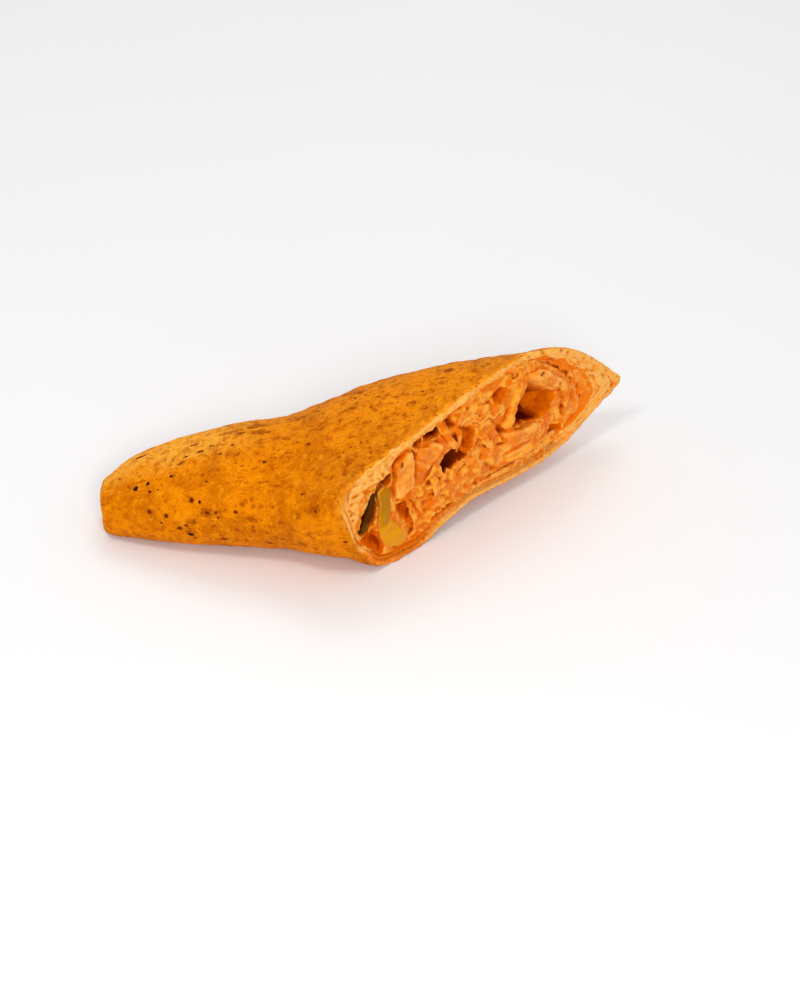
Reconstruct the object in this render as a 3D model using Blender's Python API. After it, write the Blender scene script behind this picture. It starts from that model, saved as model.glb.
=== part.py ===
"""Half of a chicken wrap, cut on a slant, lying on its flat underside with the folded end shut.

Run it with blender --background --python part.py, or from Blender's text editor.

Sizes are millimetres in a drafting frame, and MM turns them into metres as each mesh is made. The frame's
zero is the low corner of the cut on the floor, +X runs from the folded end towards the cut, +Y away from the
near side and +Z up. The cut is a vertical plane through zero, and a place on it is (u, v): u along the cut
from the near side to the far side, v up. Everything is moved at the end, so that the origin is under the
middle of the wrap.
"""

import math
import random
from dataclasses import dataclass

import bmesh
import bpy
import numpy as np
from mathutils import Vector, noise
from mathutils.geometry import delaunay_2d_cdt

MM = 0.001

# The cut
CUT_TURN = math.radians(42.3)  # the cut plane's turn from +X about the vertical
ALONG_CUT = np.array([math.cos(CUT_TURN), math.sin(CUT_TURN), 0.0])
CUT_NORMAL = np.array([math.sin(CUT_TURN), -math.cos(CUT_TURN), 0.0])
WRAP_AXIS = np.array([1.0, 0.1, 0.0]) / math.hypot(1.0, 0.1)
UP = np.array([0.0, 0.0, 1.0])

# The tortilla
WALL = 3.0  # two layers, rolled tight
LAYER_STEP = 1.2  # how far the free edge of the outer layer stands out, low along the back
STEP_POINTS = 9  # ring points over which that step runs out again
CLEARANCE = 0.32  # between pieces that touch
SLANTED_CLEARANCE = 0.8  # the same, measured in the slanted sections
END_ROUNDING = ((0.94, 1.2), (0.78, 2.1), (0.56, 1.2), (0.30, -1.6))  # (share of the section, mm out)
RING_HALF = 30  # ring points over the top, and as many under the bottom
ROWS_ALONG = 22
# Where along the wrap its round sections start to turn into the outline of the cut. Underneath they stay flat
# for longer, so that the wrap rests on its underside up to just behind the cut.
CUT_MORPH_FROM = 0.45
UNDER_MORPH_FROM = 0.80

# The filling
FILLING_FROM = 0.07  # where along the wrap it starts
FILLING_ROWS = 9
CUT_MIDDLE = (30.0, 23.0)
LEAN = 0.008  # share of its distance from the middle that a separate piece closes in each mm on its way in
FACE_SPACING = 3.0
FACE_SINK = 1.2  # how far the filling's cut face lies behind the rim
SEED = 7


@dataclass(frozen=True)
class Station:
    """A section of the wrap: its widest points on the near and the far side, and its height."""

    at: float
    near: tuple[float, float, float]
    far: tuple[float, float, float]
    top: float
    bottom: float


@dataclass(frozen=True)
class Pocket:
    """A hollow in the filling's cut face: an oval, turned in the face's plane, running inwards."""

    centre: tuple[float, float]
    half_sizes: tuple[float, float]
    turn_deg: float
    depth: float


@dataclass(frozen=True)
class Shred:
    """A strand of chicken fused to the filling, along points (u, v, height of its middle over the face)."""

    path: tuple[tuple[float, float, float], ...]
    width: float
    thickness: float


@dataclass(frozen=True)
class Bite:
    """A separate piece in the filling: its outline on the cut and how far it runs in."""

    name: str
    outline: tuple[tuple[float, float], ...]
    proud: float
    depth: float
    back_share: float
    material: str


# Below zero, a bottom is cut off by the floor, which leaves the flat underside.
STATIONS = (
    Station(0.00, near=(-76.6, 8.4, 6.5), far=(-76.3, 24.5, 5.5), top=12.8, bottom=-0.8),
    Station(0.08, near=(-72.0, 6.4, 7.6), far=(-71.5, 30.3, 6.8), top=16.2, bottom=-1.2),
    Station(0.20, near=(-63.5, 3.0, 9.8), far=(-61.5, 34.4, 9.0), top=20.6, bottom=-1.6),
    Station(0.40, near=(-47.0, -1.2, 13.8), far=(-40.0, 36.6, 12.6), top=27.0, bottom=-1.6),
    Station(0.60, near=(-32.0, -4.8, 18.0), far=(-14.0, 44.4, 12.0), top=32.0, bottom=-2.0),
    Station(0.80, near=(-21.0, -10.4, 22.0), far=(20.0, 55.4, 13.0), top=38.6, bottom=-2.4),
    Station(1.00, near=(-12.65, -11.5, 27.0), far=(63.85, 58.1, 17.0), top=45.0, bottom=-2.4),
)
# Outlines on the cut, each from the pinched far tip to the blunt near end.
RIM_OVER = (
    (86.3, 17.0), (84.0, 21.5), (77.4, 29.0), (65.9, 39.0), (57.3, 42.9), (45.9, 45.0),
    (31.2, 43.9), (16.8, 41.0), (-4.5, 36.4), (-12.5, 34.6), (-16.6, 31.2), (-17.1, 27.0),
)  # fmt: skip
RIM_UNDER = (
    (86.3, 17.0), (82.5, 14.2), (76.8, 12.0), (68.0, 7.4), (58.0, 4.9), (45.0, 4.7),
    (30.0, 5.8), (20.0, 3.3), (11.0, 0.2), (2.0, 0.2), (-4.3, 2.2), (-10.7, 9.9),
    (-15.1, 20.0), (-17.1, 27.0),
)  # fmt: skip
CAVITY_OVER = (
    (75.5, 19.3), (72.5, 26.0), (67.5, 32.5), (61.5, 38.0), (54.0, 40.8), (45.9, 41.8),
    (31.2, 40.9), (16.8, 38.2), (3.0, 35.6), (-4.0, 33.6), (-8.0, 30.0), (-10.5, 23.5),
)  # fmt: skip
CAVITY_UNDER = (
    (75.5, 19.3), (71.5, 14.8), (65.0, 11.6), (56.0, 9.2), (45.0, 8.6), (30.0, 9.4),
    (20.0, 7.6), (11.0, 4.6), (2.0, 4.2), (-4.0, 6.2), (-9.5, 11.5), (-12.0, 17.5), (-10.5, 23.5),
)  # fmt: skip

# The gap between the tortilla's two layers, as shares of the wall, widest at the far tip.
GAP_FROM, GAP_TO = -0.54, 0.20  # way round the rim from the far tip: under it past the near end, and over it
GAP_CENTRE = 0.44
GAP_HALF_SHARE = 0.10
GAP_TIP_EXTRA = 0.22
GAP_TIP_REACH = 0.09
GAP_DEPTHS = ((1.03, 1.0), (0.975, 0.9), (0.92, 0.5))  # (station, share of the opening)
RUFFLE = 0.7  # how far the cut edges of the layers wave

POCKETS = (
    Pocket((50.0, 28.0), (6.4, 5.6), 20.0, 15.0),
    Pocket((25.6, 30.2), (1.9, 4.4), 38.0, 10.0),
    Pocket((20.0, 24.8), (3.6, 3.3), 0.0, 13.0),
    Pocket((11.5, 36.9), (4.6, 1.7), -8.0, 12.0),
    Pocket((21.3, 40.2), (3.0, 1.0), 12.0, 8.0),
    Pocket((37.8, 36.6), (2.7, 1.5), 5.0, 5.0),
    Pocket((39.3, 25.0), (1.5, 2.9), 20.0, 6.0),
    Pocket((59.6, 12.4), (1.3, 2.4), -35.0, 6.0),
    Pocket((6.6, 14.6), (2.2, 3.6), 15.0, 7.0),
    Pocket((61.0, 24.0), (1.6, 4.5), 8.0, 7.0),
)
SHREDS = (
    Shred(((18.2, 36.6, 0.2), (20.4, 34.4, 0.7), (22.0, 31.0, 0.6), (24.0, 28.4, -0.3)), 2.2, 1.8),
    Shred(((24.5, 38.5, 0.0), (29.0, 37.5, 0.7), (34.0, 38.2, 0.4), (38.0, 38.8, -0.3)), 3.4, 2.6),
    Shred(((26.0, 33.6, 0.1), (30.5, 33.0, 0.8), (34.5, 33.8, 0.5), (38.0, 32.0, -0.4)), 2.6, 2.2),
    Shred(((29.0, 29.5, 0.0), (32.5, 26.5, 0.7), (36.5, 26.8, 0.2)), 2.8, 2.4),
    Shred(((31.0, 23.0, 0.1), (34.0, 21.0, 0.8), (38.5, 21.6, 0.1)), 3.6, 2.6),
    Shred(((21.5, 17.0, -0.1), (27.0, 18.8, 0.8), (33.0, 16.6, 0.7), (40.0, 15.2, 0.0)), 4.4, 3.2),
    Shred(((22.0, 12.6, -0.2), (29.0, 13.2, 0.5), (36.5, 12.6, 0.4)), 3.2, 2.4),
    Shred(((8.7, 19.6, -0.1), (12.4, 18.0, 0.6), (16.8, 19.4, 0.1)), 3.4, 2.4),
    Shred(((10.0, 13.0, -0.1), (14.5, 14.2, 0.5), (19.0, 13.2, 0.0)), 3.0, 2.4),
    Shred(((6.5, 9.4, -0.1), (11.5, 9.0, 0.5), (16.5, 10.6, 0.0)), 2.6, 2.2),
    Shred(((58.0, 34.5, -0.5), (60.4, 30.0, 0.2), (62.4, 24.0, 0.2), (62.0, 17.0, -0.4)), 2.0, 2.0),
    Shred(((62.5, 33.0, -0.5), (65.6, 27.0, 0.4), (66.4, 21.0, 0.2), (64.4, 14.8, -0.4)), 2.2, 2.0),
    Shred(((44.5, 37.8, -0.2), (42.2, 33.4, 0.5), (42.6, 29.0, 0.1)), 2.6, 2.2),
    Shred(((67.5, 28.5, -0.7), (69.6, 23.6, 0.2), (69.4, 18.4, -0.5)), 2.0, 1.8),
)
BITES = (
    Bite(
        "chicken_chunk",
        outline=(
            (0.6, 34.6), (6.8, 35.0), (7.3, 30.0), (7.3, 25.0),
            (6.2, 22.4), (1.8, 21.8), (0.6, 26.4), (1.0, 30.4),
        ),
        proud=1.0, depth=15.0, back_share=0.7, material="chicken",
    ),
    Bite(
        "chicken_strip",
        outline=(
            (8.6, 33.6), (12.6, 33.8), (16.4, 32.8), (18.0, 30.6),
            (16.0, 27.8), (12.4, 25.6), (10.4, 22.6), (8.7, 23.4),
        ),
        proud=0.2, depth=13.0, back_share=0.75, material="chicken",
    ),
    Bite(
        "chicken_slab",
        outline=(
            (51.4, 38.6), (53.9, 38.6), (58.4, 34.9), (63.4, 29.2),
            (64.0, 26.4), (60.2, 29.2), (55.6, 33.2), (52.2, 35.6),
        ),
        proud=0.8, depth=10.0, back_share=0.75, material="chicken",
    ),
    Bite(
        "chicken_wedge",
        outline=(
            (43.4, 22.0), (48.6, 21.0), (53.4, 20.9), (54.6, 19.6),
            (53.6, 17.2), (49.0, 16.0), (45.4, 16.6), (42.6, 18.8),
        ),
        proud=1.4, depth=16.0, back_share=0.7, material="chicken",
    ),
    Bite(
        "chicken_slice",
        outline=(
            (42.6, 14.2), (48.0, 14.6), (53.0, 15.0), (56.4, 17.6),
            (57.4, 16.4), (54.0, 12.6), (48.0, 11.6), (42.8, 12.0),
        ),
        proud=0.4, depth=14.0, back_share=0.8, material="chicken",
    ),
    Bite(
        "pickle_slice",
        outline=(
            (-5.0, 27.9), (-1.4, 27.9), (-1.4, 21.4), (-1.9, 17.9), (0.9, 14.3), (4.3, 9.4),
            (4.4, 7.0), (1.4, 6.9), (-3.0, 8.9), (-5.2, 14.6), (-4.6, 21.4),
        ),
        proud=0.9, depth=9.0, back_share=0.7, material="pickle",
    ),
    Bite(
        "pickle_strip",
        outline=(
            (-5.9, 29.0), (-5.9, 25.4), (-7.3, 20.6), (-9.1, 16.4),
            (-11.1, 15.6), (-11.2, 18.2), (-9.0, 23.0), (-7.4, 28.2),
        ),
        proud=-0.2, depth=10.0, back_share=0.6, material="pickle_skin",
    ),
)  # fmt: skip
MATERIALS = {
    "tortilla": ((0.80, 0.45, 0.13, 1.0), 0.62),
    "filling": ((0.72, 0.22, 0.03, 1.0), 0.35),
    "chicken": ((0.85, 0.46, 0.20, 1.0), 0.40),
    "pickle": ((0.55, 0.36, 0.03, 1.0), 0.30),
    "pickle_skin": ((0.12, 0.07, 0.01, 1.0), 0.35),
}


def clear_scene() -> None:
    for obj in list(bpy.data.objects):
        bpy.data.objects.remove(obj, do_unlink=True)


def material(name: str) -> bpy.types.Material:
    """The named finish, made once."""
    found = bpy.data.materials.get(name)
    if found:
        return found
    color, roughness = MATERIALS[name]
    made = bpy.data.materials.new(name)
    made.use_nodes = True
    shader = made.node_tree.nodes["Principled BSDF"]
    shader.inputs["Base Color"].default_value = color
    shader.inputs["Roughness"].default_value = roughness
    shader.inputs["Metallic"].default_value = 0.0
    return made


def curve_through(points, count: int) -> np.ndarray:
    """A smooth open curve through the points, as count equal steps with both ends."""
    knots = np.array(points, dtype=float)
    padded = np.vstack([2 * knots[0] - knots[1], knots, 2 * knots[-1] - knots[-2]])
    fine = []
    for before, start, end, after in zip(padded, padded[1:], padded[2:], padded[3:]):
        for q in np.linspace(0.0, 1.0, 12, endpoint=False):
            fine.append(
                0.5 * (2 * start + (end - before) * q + (2 * before - 5 * start + 4 * end - after) * q**2
                       + (3 * start - before - 3 * end + after) * q**3)
            )  # fmt: skip
    fine.append(knots[-1])
    return even_steps(np.array(fine), count)


def even_steps(line: np.ndarray, count: int) -> np.ndarray:
    """The polyline cut into count equal steps."""
    travelled = np.concatenate([[0.0], np.cumsum(np.linalg.norm(np.diff(line, axis=0), axis=1))])
    marks = np.linspace(0.0, travelled[-1], count + 1)
    return np.stack([np.interp(marks, travelled, line[:, axis]) for axis in range(line.shape[1])], axis=1)


def closed_curve(points, count: int) -> np.ndarray:
    """A smooth closed curve through the points, as count points."""
    ring = list(points)
    unrolled = curve_through(ring[-2:] + ring + ring[:3], 8 * (len(ring) + 4))
    start = np.argmin(np.linalg.norm(unrolled[: len(unrolled) // 2] - ring[0], axis=1))
    end = len(unrolled) // 2 + np.argmin(np.linalg.norm(unrolled[len(unrolled) // 2 :] - ring[0], axis=1))
    return even_steps(unrolled[start : end + 1], count)[:-1]


def eased(value: float, low: float, high: float) -> float:
    """0 below low, 1 above high and a smooth step between them."""
    share = min(max((value - low) / (high - low), 0.0), 1.0)
    return share * share * (3.0 - 2.0 * share)


def station_at(at: float) -> np.ndarray:
    """The station's numbers at a place along the wrap, on smooth curves through STATIONS."""
    places = np.array([s.at for s in STATIONS])
    values = np.array([(*s.near, *s.far, s.top, s.bottom) for s in STATIONS])
    slopes = np.gradient(values, places, axis=0)
    k = min(max(int(np.searchsorted(places, at, side="right")) - 1, 0), len(places) - 2)
    span = places[k + 1] - places[k]
    q = (at - places[k]) / span
    return (
        (2 * q**3 - 3 * q**2 + 1) * values[k] + (q**3 - 2 * q**2 + q) * span * slopes[k]
        + (3 * q**2 - 2 * q**3) * values[k + 1] + (q**3 - q**2) * span * slopes[k + 1]
    )  # fmt: skip


def round_section(width, near_z, far_z, top, bottom, floor) -> np.ndarray:
    """An oval (across, z) loop: from the far side over the top to the near side, and back underneath."""
    angles = np.linspace(0.0, math.pi, 90)
    across = width / 2 * (1 + np.cos(angles))
    waist = near_z + (far_z - near_z) * across / width
    over = even_steps(np.stack([across, waist + (top - waist) * np.sin(angles)], axis=1), RING_HALF)
    below = np.maximum(waist - (waist - bottom) * np.sin(angles), floor)
    under = even_steps(np.stack([across, below], axis=1), RING_HALF)
    return np.vstack([over[:-1], under[::-1][:-1]])


def cut_loop(over, under) -> np.ndarray:
    """A closed (u, v) outline on the cut, with points that match round_section's."""
    return np.vstack([curve_through(over, RING_HALF)[:-1], curve_through(under, RING_HALF)[::-1][:-1]])


def section(at: float, inset: float, outline: np.ndarray) -> np.ndarray:
    """The ring of points at a place along the wrap, set in from its surface, in the drafting frame."""
    numbers = station_at(at)
    near, far = numbers[0:3], numbers[3:6]
    top, bottom = numbers[6:]
    run = far[:2] - near[:2]
    width = float(np.hypot(*run))
    direction = run / width
    plain = round_section(width - 2 * inset, near[2], far[2], top - inset, bottom + inset, inset)
    plain[:, 0] += inset
    cut_start = RIM_OVER[-1][0]
    cut_width = RIM_OVER[0][0] - cut_start
    on_cut = np.stack(
        [(outline[:, 0] - cut_start) * width / cut_width, outline[:, 1] * top / STATIONS[-1].top], axis=1
    )
    way_round = np.arange(len(outline)) * 2 * math.pi / len(outline)
    under = np.maximum(0.0, -np.sin(way_round))[:, None] ** 0.6
    share = eased(at, CUT_MORPH_FROM, 1.0) * (1.0 - under) + eased(at, UNDER_MORPH_FROM, 1.0) * under
    loop = (1.0 - share) * plain + share * on_cut
    ring = np.empty((len(loop), 3))
    ring[:, :2] = near[:2] + loop[:, :1] * direction
    ring[:, 2] = loop[:, 1]
    return ring


def set_in(ring: np.ndarray, amount: float) -> np.ndarray:
    """The ring moved inwards in its own upright plane."""
    ahead = np.roll(ring, -1, axis=0) - np.roll(ring, 1, axis=0)
    across = ring[np.argmax(ring[:, 0])] - ring[np.argmin(ring[:, 0])]
    across[2] = 0.0
    across /= np.linalg.norm(across)
    flow = np.stack([ahead @ across, ahead[:, 2]], axis=1)
    flow /= np.linalg.norm(flow, axis=1)[:, None]
    return ring + amount * (-flow[:, 1:2] * across + flow[:, 0:1] * UP)


def to_cut(u: float, v: float, height: float) -> np.ndarray:
    """A point over the cut: height is square to it at the near end and along the wrap at the far end."""
    share = eased(u, 5.0, 60.0)
    outwards = (1.0 - share) * CUT_NORMAL + share * WRAP_AXIS
    outwards /= np.linalg.norm(outwards)
    return ALONG_CUT * u + UP * v + outwards * height


def mesh_object(name: str, slot: str, points, faces) -> bpy.types.Object:
    """A mesh object from points in millimetres, its faces turned outwards."""
    mesh = bpy.data.meshes.new(name)
    mesh.from_pydata([tuple(float(c) * MM for c in p) for p in points], [], faces)
    shape = bmesh.new()
    shape.from_mesh(mesh)
    bmesh.ops.recalc_face_normals(shape, faces=shape.faces)
    if shape.calc_volume(signed=True) < 0:
        bmesh.ops.reverse_faces(shape, faces=shape.faces)
    shape.to_mesh(mesh)
    shape.free()
    obj = bpy.data.objects.new(name, mesh)
    bpy.context.scene.collection.objects.link(obj)
    mesh.materials.append(material(slot))
    return obj


def loft(name: str, slot: str, rings) -> bpy.types.Object:
    """A closed skin over rings of equal size, with a face across the first and the last."""
    size = len(rings[0])
    faces = []
    for row in range(len(rings) - 1):
        for k in range(size):
            after = (k + 1) % size
            here = row * size
            faces.append((here + k, here + after, here + size + after, here + size + k))
    faces.append(tuple(range(size)))
    faces.append(tuple((len(rings) - 1) * size + k for k in range(size)))
    return mesh_object(name, slot, np.vstack(rings), faces)


def boolean(target, cutter, operation: str) -> None:
    """Applies a Boolean with one cutter, which is then removed."""
    modifier = target.modifiers.new("boolean", "BOOLEAN")
    modifier.operation = operation
    modifier.object = cutter
    apply_modifiers(target)
    bpy.data.objects.remove(cutter, do_unlink=True)


def apply_modifiers(target) -> None:
    """Replaces the mesh by its evaluated copy."""
    graph = bpy.context.evaluated_depsgraph_get()
    mesh = bpy.data.meshes.new_from_object(target.evaluated_get(graph))
    target.modifiers.clear()
    target.data = mesh


def join_into(core, pieces) -> None:
    """Joins the pieces to the core by one union on their collection, then removes them."""
    group = bpy.data.collections.new("pieces")
    bpy.context.scene.collection.children.link(group)
    for piece in pieces:
        bpy.context.scene.collection.objects.unlink(piece)
        group.objects.link(piece)
    modifier = core.modifiers.new("union", "BOOLEAN")
    modifier.operation = "UNION"
    modifier.operand_type = "COLLECTION"
    modifier.collection = group
    apply_modifiers(core)
    for piece in list(pieces):
        bpy.data.objects.remove(piece, do_unlink=True)
    bpy.data.collections.remove(group)


def keep_largest(obj) -> None:
    """Removes the loose scraps that a cut leaves, all but the largest body."""
    shape = bmesh.new()
    shape.from_mesh(obj.data)
    unseen = set(shape.verts)
    bodies = []
    while unseen:
        body = {unseen.pop()}
        front = list(body)
        while front:
            vert = front.pop()
            for edge in vert.link_edges:
                other = edge.other_vert(vert)
                if other in unseen:
                    unseen.remove(other)
                    body.add(other)
                    front.append(other)
        bodies.append(body)
    bodies.sort(key=len)
    scraps = [vert for body in bodies[:-1] for vert in body]
    bmesh.ops.delete(shape, geom=scraps, context="VERTS")
    bmesh.ops.triangulate(shape, faces=shape.faces)
    shape.to_mesh(obj.data)
    shape.free()


def cavity_rings() -> list[np.ndarray]:
    """The inside of the shell, from the folded end to the cut."""
    cavity = cut_loop(CAVITY_OVER, CAVITY_UNDER)
    places = np.linspace(FILLING_FROM, 1.0, FILLING_ROWS)
    return [section(float(at), WALL, cavity) for at in places]


def outer_ring(at: float, rim: np.ndarray) -> np.ndarray:
    """The tortilla's outside at a place along the wrap, with the step of its free edge along the back."""
    ring = section(at, 0.0, rim)
    size = len(ring)
    centre = ring.mean(axis=0)
    fade = 1.0 - eased(at, 0.80, 0.97)
    for back in range(STEP_POINTS):
        k = size - 2 - back
        outwards = ring[k] - centre
        outwards /= np.linalg.norm(outwards)
        ring[k] += outwards * LAYER_STEP * fade * (1.0 - back / STEP_POINTS)
    ring[:, 2] = np.maximum(ring[:, 2], 0.0)
    return ring


def folded_end(first: np.ndarray) -> list[np.ndarray]:
    """Rings that round the folded end and tuck it in, smallest first."""
    centre = first.mean(axis=0)
    rings = []
    for share, outwards in END_ROUNDING:
        ring = centre + (first - centre) * share - WRAP_AXIS * outwards
        ring[:, 2] = np.maximum(ring[:, 2], 0.0)
        rings.append(ring)
    return rings[::-1]


def layer_gap(rim: np.ndarray, cavity: np.ndarray) -> bpy.types.Object:
    """The solid of the gap between the two layers, from beyond the cut inwards."""
    size = 2 * RING_HALF
    steps = range(round(GAP_FROM * size), round(GAP_TO * size) + 1)
    rings = []
    for at, opening in GAP_DEPTHS:
        outside = section(at, 0.0, rim)
        inside = section(at, WALL, cavity)
        outer_side, inner_side = [], []
        for k in steps:
            half = GAP_HALF_SHARE + GAP_TIP_EXTRA * math.exp(-((k / size / GAP_TIP_REACH) ** 2))
            half *= opening
            outer_side.append(outside[k] + (inside[k] - outside[k]) * (GAP_CENTRE - half))
            inner_side.append(outside[k] + (inside[k] - outside[k]) * (GAP_CENTRE + half))
        rings.append(np.array(outer_side + inner_side[::-1]))
    return loft("layer_gap", "tortilla", rings)


def build_tortilla() -> bpy.types.Object:
    """The shell: two layers thick, shut at the folded end, open at the cut."""
    rim = cut_loop(RIM_OVER, RIM_UNDER)
    cavity = cut_loop(CAVITY_OVER, CAVITY_UNDER)
    places = np.linspace(0.0, 1.0, ROWS_ALONG)
    rings = [outer_ring(float(at), rim) for at in places]
    tortilla = loft("tortilla", "tortilla", folded_end(rings[0]) + rings)
    hollow = cavity_rings()
    beyond = hollow[-1] + CUT_NORMAL * 2.0
    boolean(tortilla, loft("hollow", "tortilla", hollow + [beyond]), "DIFFERENCE")
    boolean(tortilla, layer_gap(rim, cavity), "DIFFERENCE")
    keep_largest(tortilla)
    for vert in tortilla.data.vertices:
        place = np.array(vert.co) / MM
        if abs(place @ CUT_NORMAL) < 0.01 and place[2] > 1.0:
            wave = noise.noise(Vector(place * 0.16)) + 0.5 * noise.noise(Vector(place * 0.5))
            vert.co -= Vector(CUT_NORMAL) * MM * RUFFLE * (0.5 + wave)
    return tortilla


def face_relief(u: float, v: float) -> float:
    """How far the filling's cut face stands out, in lumps of the size of torn chicken."""
    lumps = noise.noise(Vector((u * 0.17, v * 0.24, 3.0)))
    grain = noise.noise(Vector((u * 0.42, v * 0.55, 9.0)))
    return 2.2 * lumps + 1.0 * grain - 0.5


def build_filling_core() -> bpy.types.Object:
    """The heap of torn chicken and sauce without its shreds: sides along the shell and a rough cut face."""
    rings = [set_in(ring, SLANTED_CLEARANCE) for ring in cavity_rings()]
    rings[0] = rings[0] + (rings[1] - rings[0]) * 0.08
    to_plane = -(rings[-2] @ CUT_NORMAL)[:, None]
    edge = rings[-1] + (rings[-2] - rings[-1]) * FACE_SINK / to_plane
    rings[-1] = edge
    size = len(edge)
    border = [Vector((float(p @ ALONG_CUT), float(p[2]))) for p in edge]
    draw = random.Random(SEED)
    inner = []
    u = -20.0
    while u < 90.0:
        v = 0.0
        while v < 46.0:
            spot = Vector((u + draw.uniform(-0.8, 0.8), v + draw.uniform(-0.8, 0.8)))
            if inside(spot, border) and min((spot - b).length for b in border) > 0.6 * FACE_SPACING:
                inner.append(spot)
            v += FACE_SPACING
        u += FACE_SPACING
    found, _, triangles, origins, _, _ = delaunay_2d_cdt(border + inner, [], [tuple(range(size))], 1, 1e-4)
    points = list(np.vstack(rings))
    last = (len(rings) - 1) * size
    index = []
    for spot, sources in zip(found, origins):
        if sources and sources[0] < size:
            index.append(last + sources[0])
            continue
        index.append(len(points))
        points.append(ALONG_CUT * spot.x + UP * spot.y + CUT_NORMAL * face_relief(spot.x, spot.y))
    faces = [tuple(range(size))]
    for row in range(len(rings) - 1):
        for k in range(size):
            after = (k + 1) % size
            here = row * size
            faces.append((here + k, here + after, here + size + after, here + size + k))
    faces += [tuple(index[k] for k in triangle) for triangle in triangles]
    return mesh_object("filling", "filling", points, faces)


def inside(spot: Vector, border) -> bool:
    """Whether a point lies inside a closed outline."""
    crossings = 0
    for start, end in zip(border, border[1:] + border[:1]):
        if (start.y > spot.y) != (end.y > spot.y):
            meets = start.x + (spot.y - start.y) * (end.x - start.x) / (end.y - start.y)
            crossings += spot.x < meets
    return crossings % 2 == 1


def build_shred(shred: Shred, number: int) -> bpy.types.Object:
    """A flat strand with tapered ends along its path."""
    steps = max(4, 2 * len(shred.path))
    line = curve_through([to_cut(u, v, height + face_relief(u, v)) for u, v, height in shred.path], steps)
    flow = np.gradient(line, axis=0)
    rings = []
    for k, (spot, ahead) in enumerate(zip(line, flow)):
        ahead = ahead / np.linalg.norm(ahead)
        side = np.cross(CUT_NORMAL, ahead)
        side /= np.linalg.norm(side)
        up = np.cross(ahead, side)
        swell = 0.45 + 0.55 * math.sin(math.pi * k / steps) ** 0.6
        rings.append(
            np.array([
                spot + swell * (side * shred.width / 2 * math.cos(a) + up * shred.thickness / 2 * math.sin(a))
                for a in np.linspace(0.0, 2 * math.pi, 7)[:-1]
            ])
        )  # fmt: skip
    return loft(f"shred_{number}", "filling", rings)


def build_pocket(pocket: Pocket) -> bpy.types.Object:
    """The cutter of a hollow: an uneven oval that narrows inwards."""
    turn = math.radians(pocket.turn_deg)
    rings = []
    for depth_share, size_share in ((-0.35, 1.15), (0.0, 1.0), (0.45, 0.85), (0.85, 0.6), (1.0, 0.3)):
        ring = []
        for a in np.linspace(0.0, 2 * math.pi, 13)[:-1]:
            uneven = 1.0 + 0.22 * noise.noise(Vector((math.cos(a), math.sin(a), pocket.centre[0])))
            x = pocket.half_sizes[0] * math.cos(a) * uneven * size_share
            y = pocket.half_sizes[1] * math.sin(a) * uneven * size_share
            u = pocket.centre[0] + x * math.cos(turn) - y * math.sin(turn)
            v = pocket.centre[1] + x * math.sin(turn) + y * math.cos(turn)
            ring.append(to_cut(u, v, -pocket.depth * depth_share))
        rings.append(np.array(ring))
    return loft("pocket", "filling", rings)


def build_bite(bite: Bite, grow: float) -> bpy.types.Object:
    """A separate piece, or with grow the space that the filling leaves for it."""
    outline = closed_curve(bite.outline, 2 * len(bite.outline))
    centre = outline.mean(axis=0)
    ahead = np.roll(outline, -1, axis=0) - np.roll(outline, 1, axis=0)
    outwards = np.stack([ahead[:, 1], -ahead[:, 0]], axis=1)
    outwards /= np.linalg.norm(outwards, axis=1)[:, None]
    if np.sum(outwards * (outline - centre)) < 0:
        outwards = -outwards
    front = bite.proud + grow
    if grow > 0:
        levels = ((4.0, 1.0), (front - 0.9, 1.0))
    else:
        levels = ((front, 0.55), (front - 0.3, 0.88), (front - 0.9, 1.0))
    back = -bite.depth - grow
    middle_share = (1.0 + bite.back_share) / 2
    levels += ((0.5 * back, middle_share), (0.9 * back, bite.back_share), (back, bite.back_share - 0.2))
    rings = []
    for height, share in levels:
        lean = (np.array(CUT_MIDDLE) - centre) * LEAN * max(0.0, -height)
        ring = []
        for spot, push in zip(outline, outwards):
            place = centre + (spot - centre) * share + push * grow + lean
            uneven = noise.noise(Vector((spot[0] * 0.5, spot[1] * 0.5, height * 0.3)))
            rough = 0.0 if grow > 0 else 0.35 * uneven
            ring.append(to_cut(place[0], place[1], height + rough * share))
        rings.append(np.array(ring))
    return loft(bite.name, bite.material, rings)


def build_filling() -> bpy.types.Object:
    """The filling with its shreds, its hollows and the spaces of the separate pieces."""
    filling = build_filling_core()
    join_into(filling, [build_shred(shred, k) for k, shred in enumerate(SHREDS)])
    for pocket in POCKETS:
        boolean(filling, build_pocket(pocket), "DIFFERENCE")
    for bite in BITES:
        boolean(filling, build_bite(bite, CLEARANCE), "DIFFERENCE")
    keep_largest(filling)
    return filling


def stand_on_origin(objects) -> None:
    """Moves every mesh so that the middle of the whole's underside is the origin."""
    corners = np.array([tuple(vert.co) for obj in objects for vert in obj.data.vertices])
    low, high = corners.min(axis=0), corners.max(axis=0)
    shift = Vector((-(low[0] + high[0]) / 2, -(low[1] + high[1]) / 2, -low[2]))
    for obj in objects:
        for vert in obj.data.vertices:
            vert.co += shift
        obj.data.shade_smooth()
        obj.data.set_sharp_from_angle(angle=math.radians(40.0))


def main() -> None:
    clear_scene()
    objects = [build_tortilla(), build_filling()]
    objects += [build_bite(bite, 0.0) for bite in BITES]
    stand_on_origin(objects)


main()
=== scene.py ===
"""Half a toasted chicken wrap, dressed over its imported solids."""

from __future__ import annotations

import logging
import math
from dataclasses import dataclass, field
from enum import Enum

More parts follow.
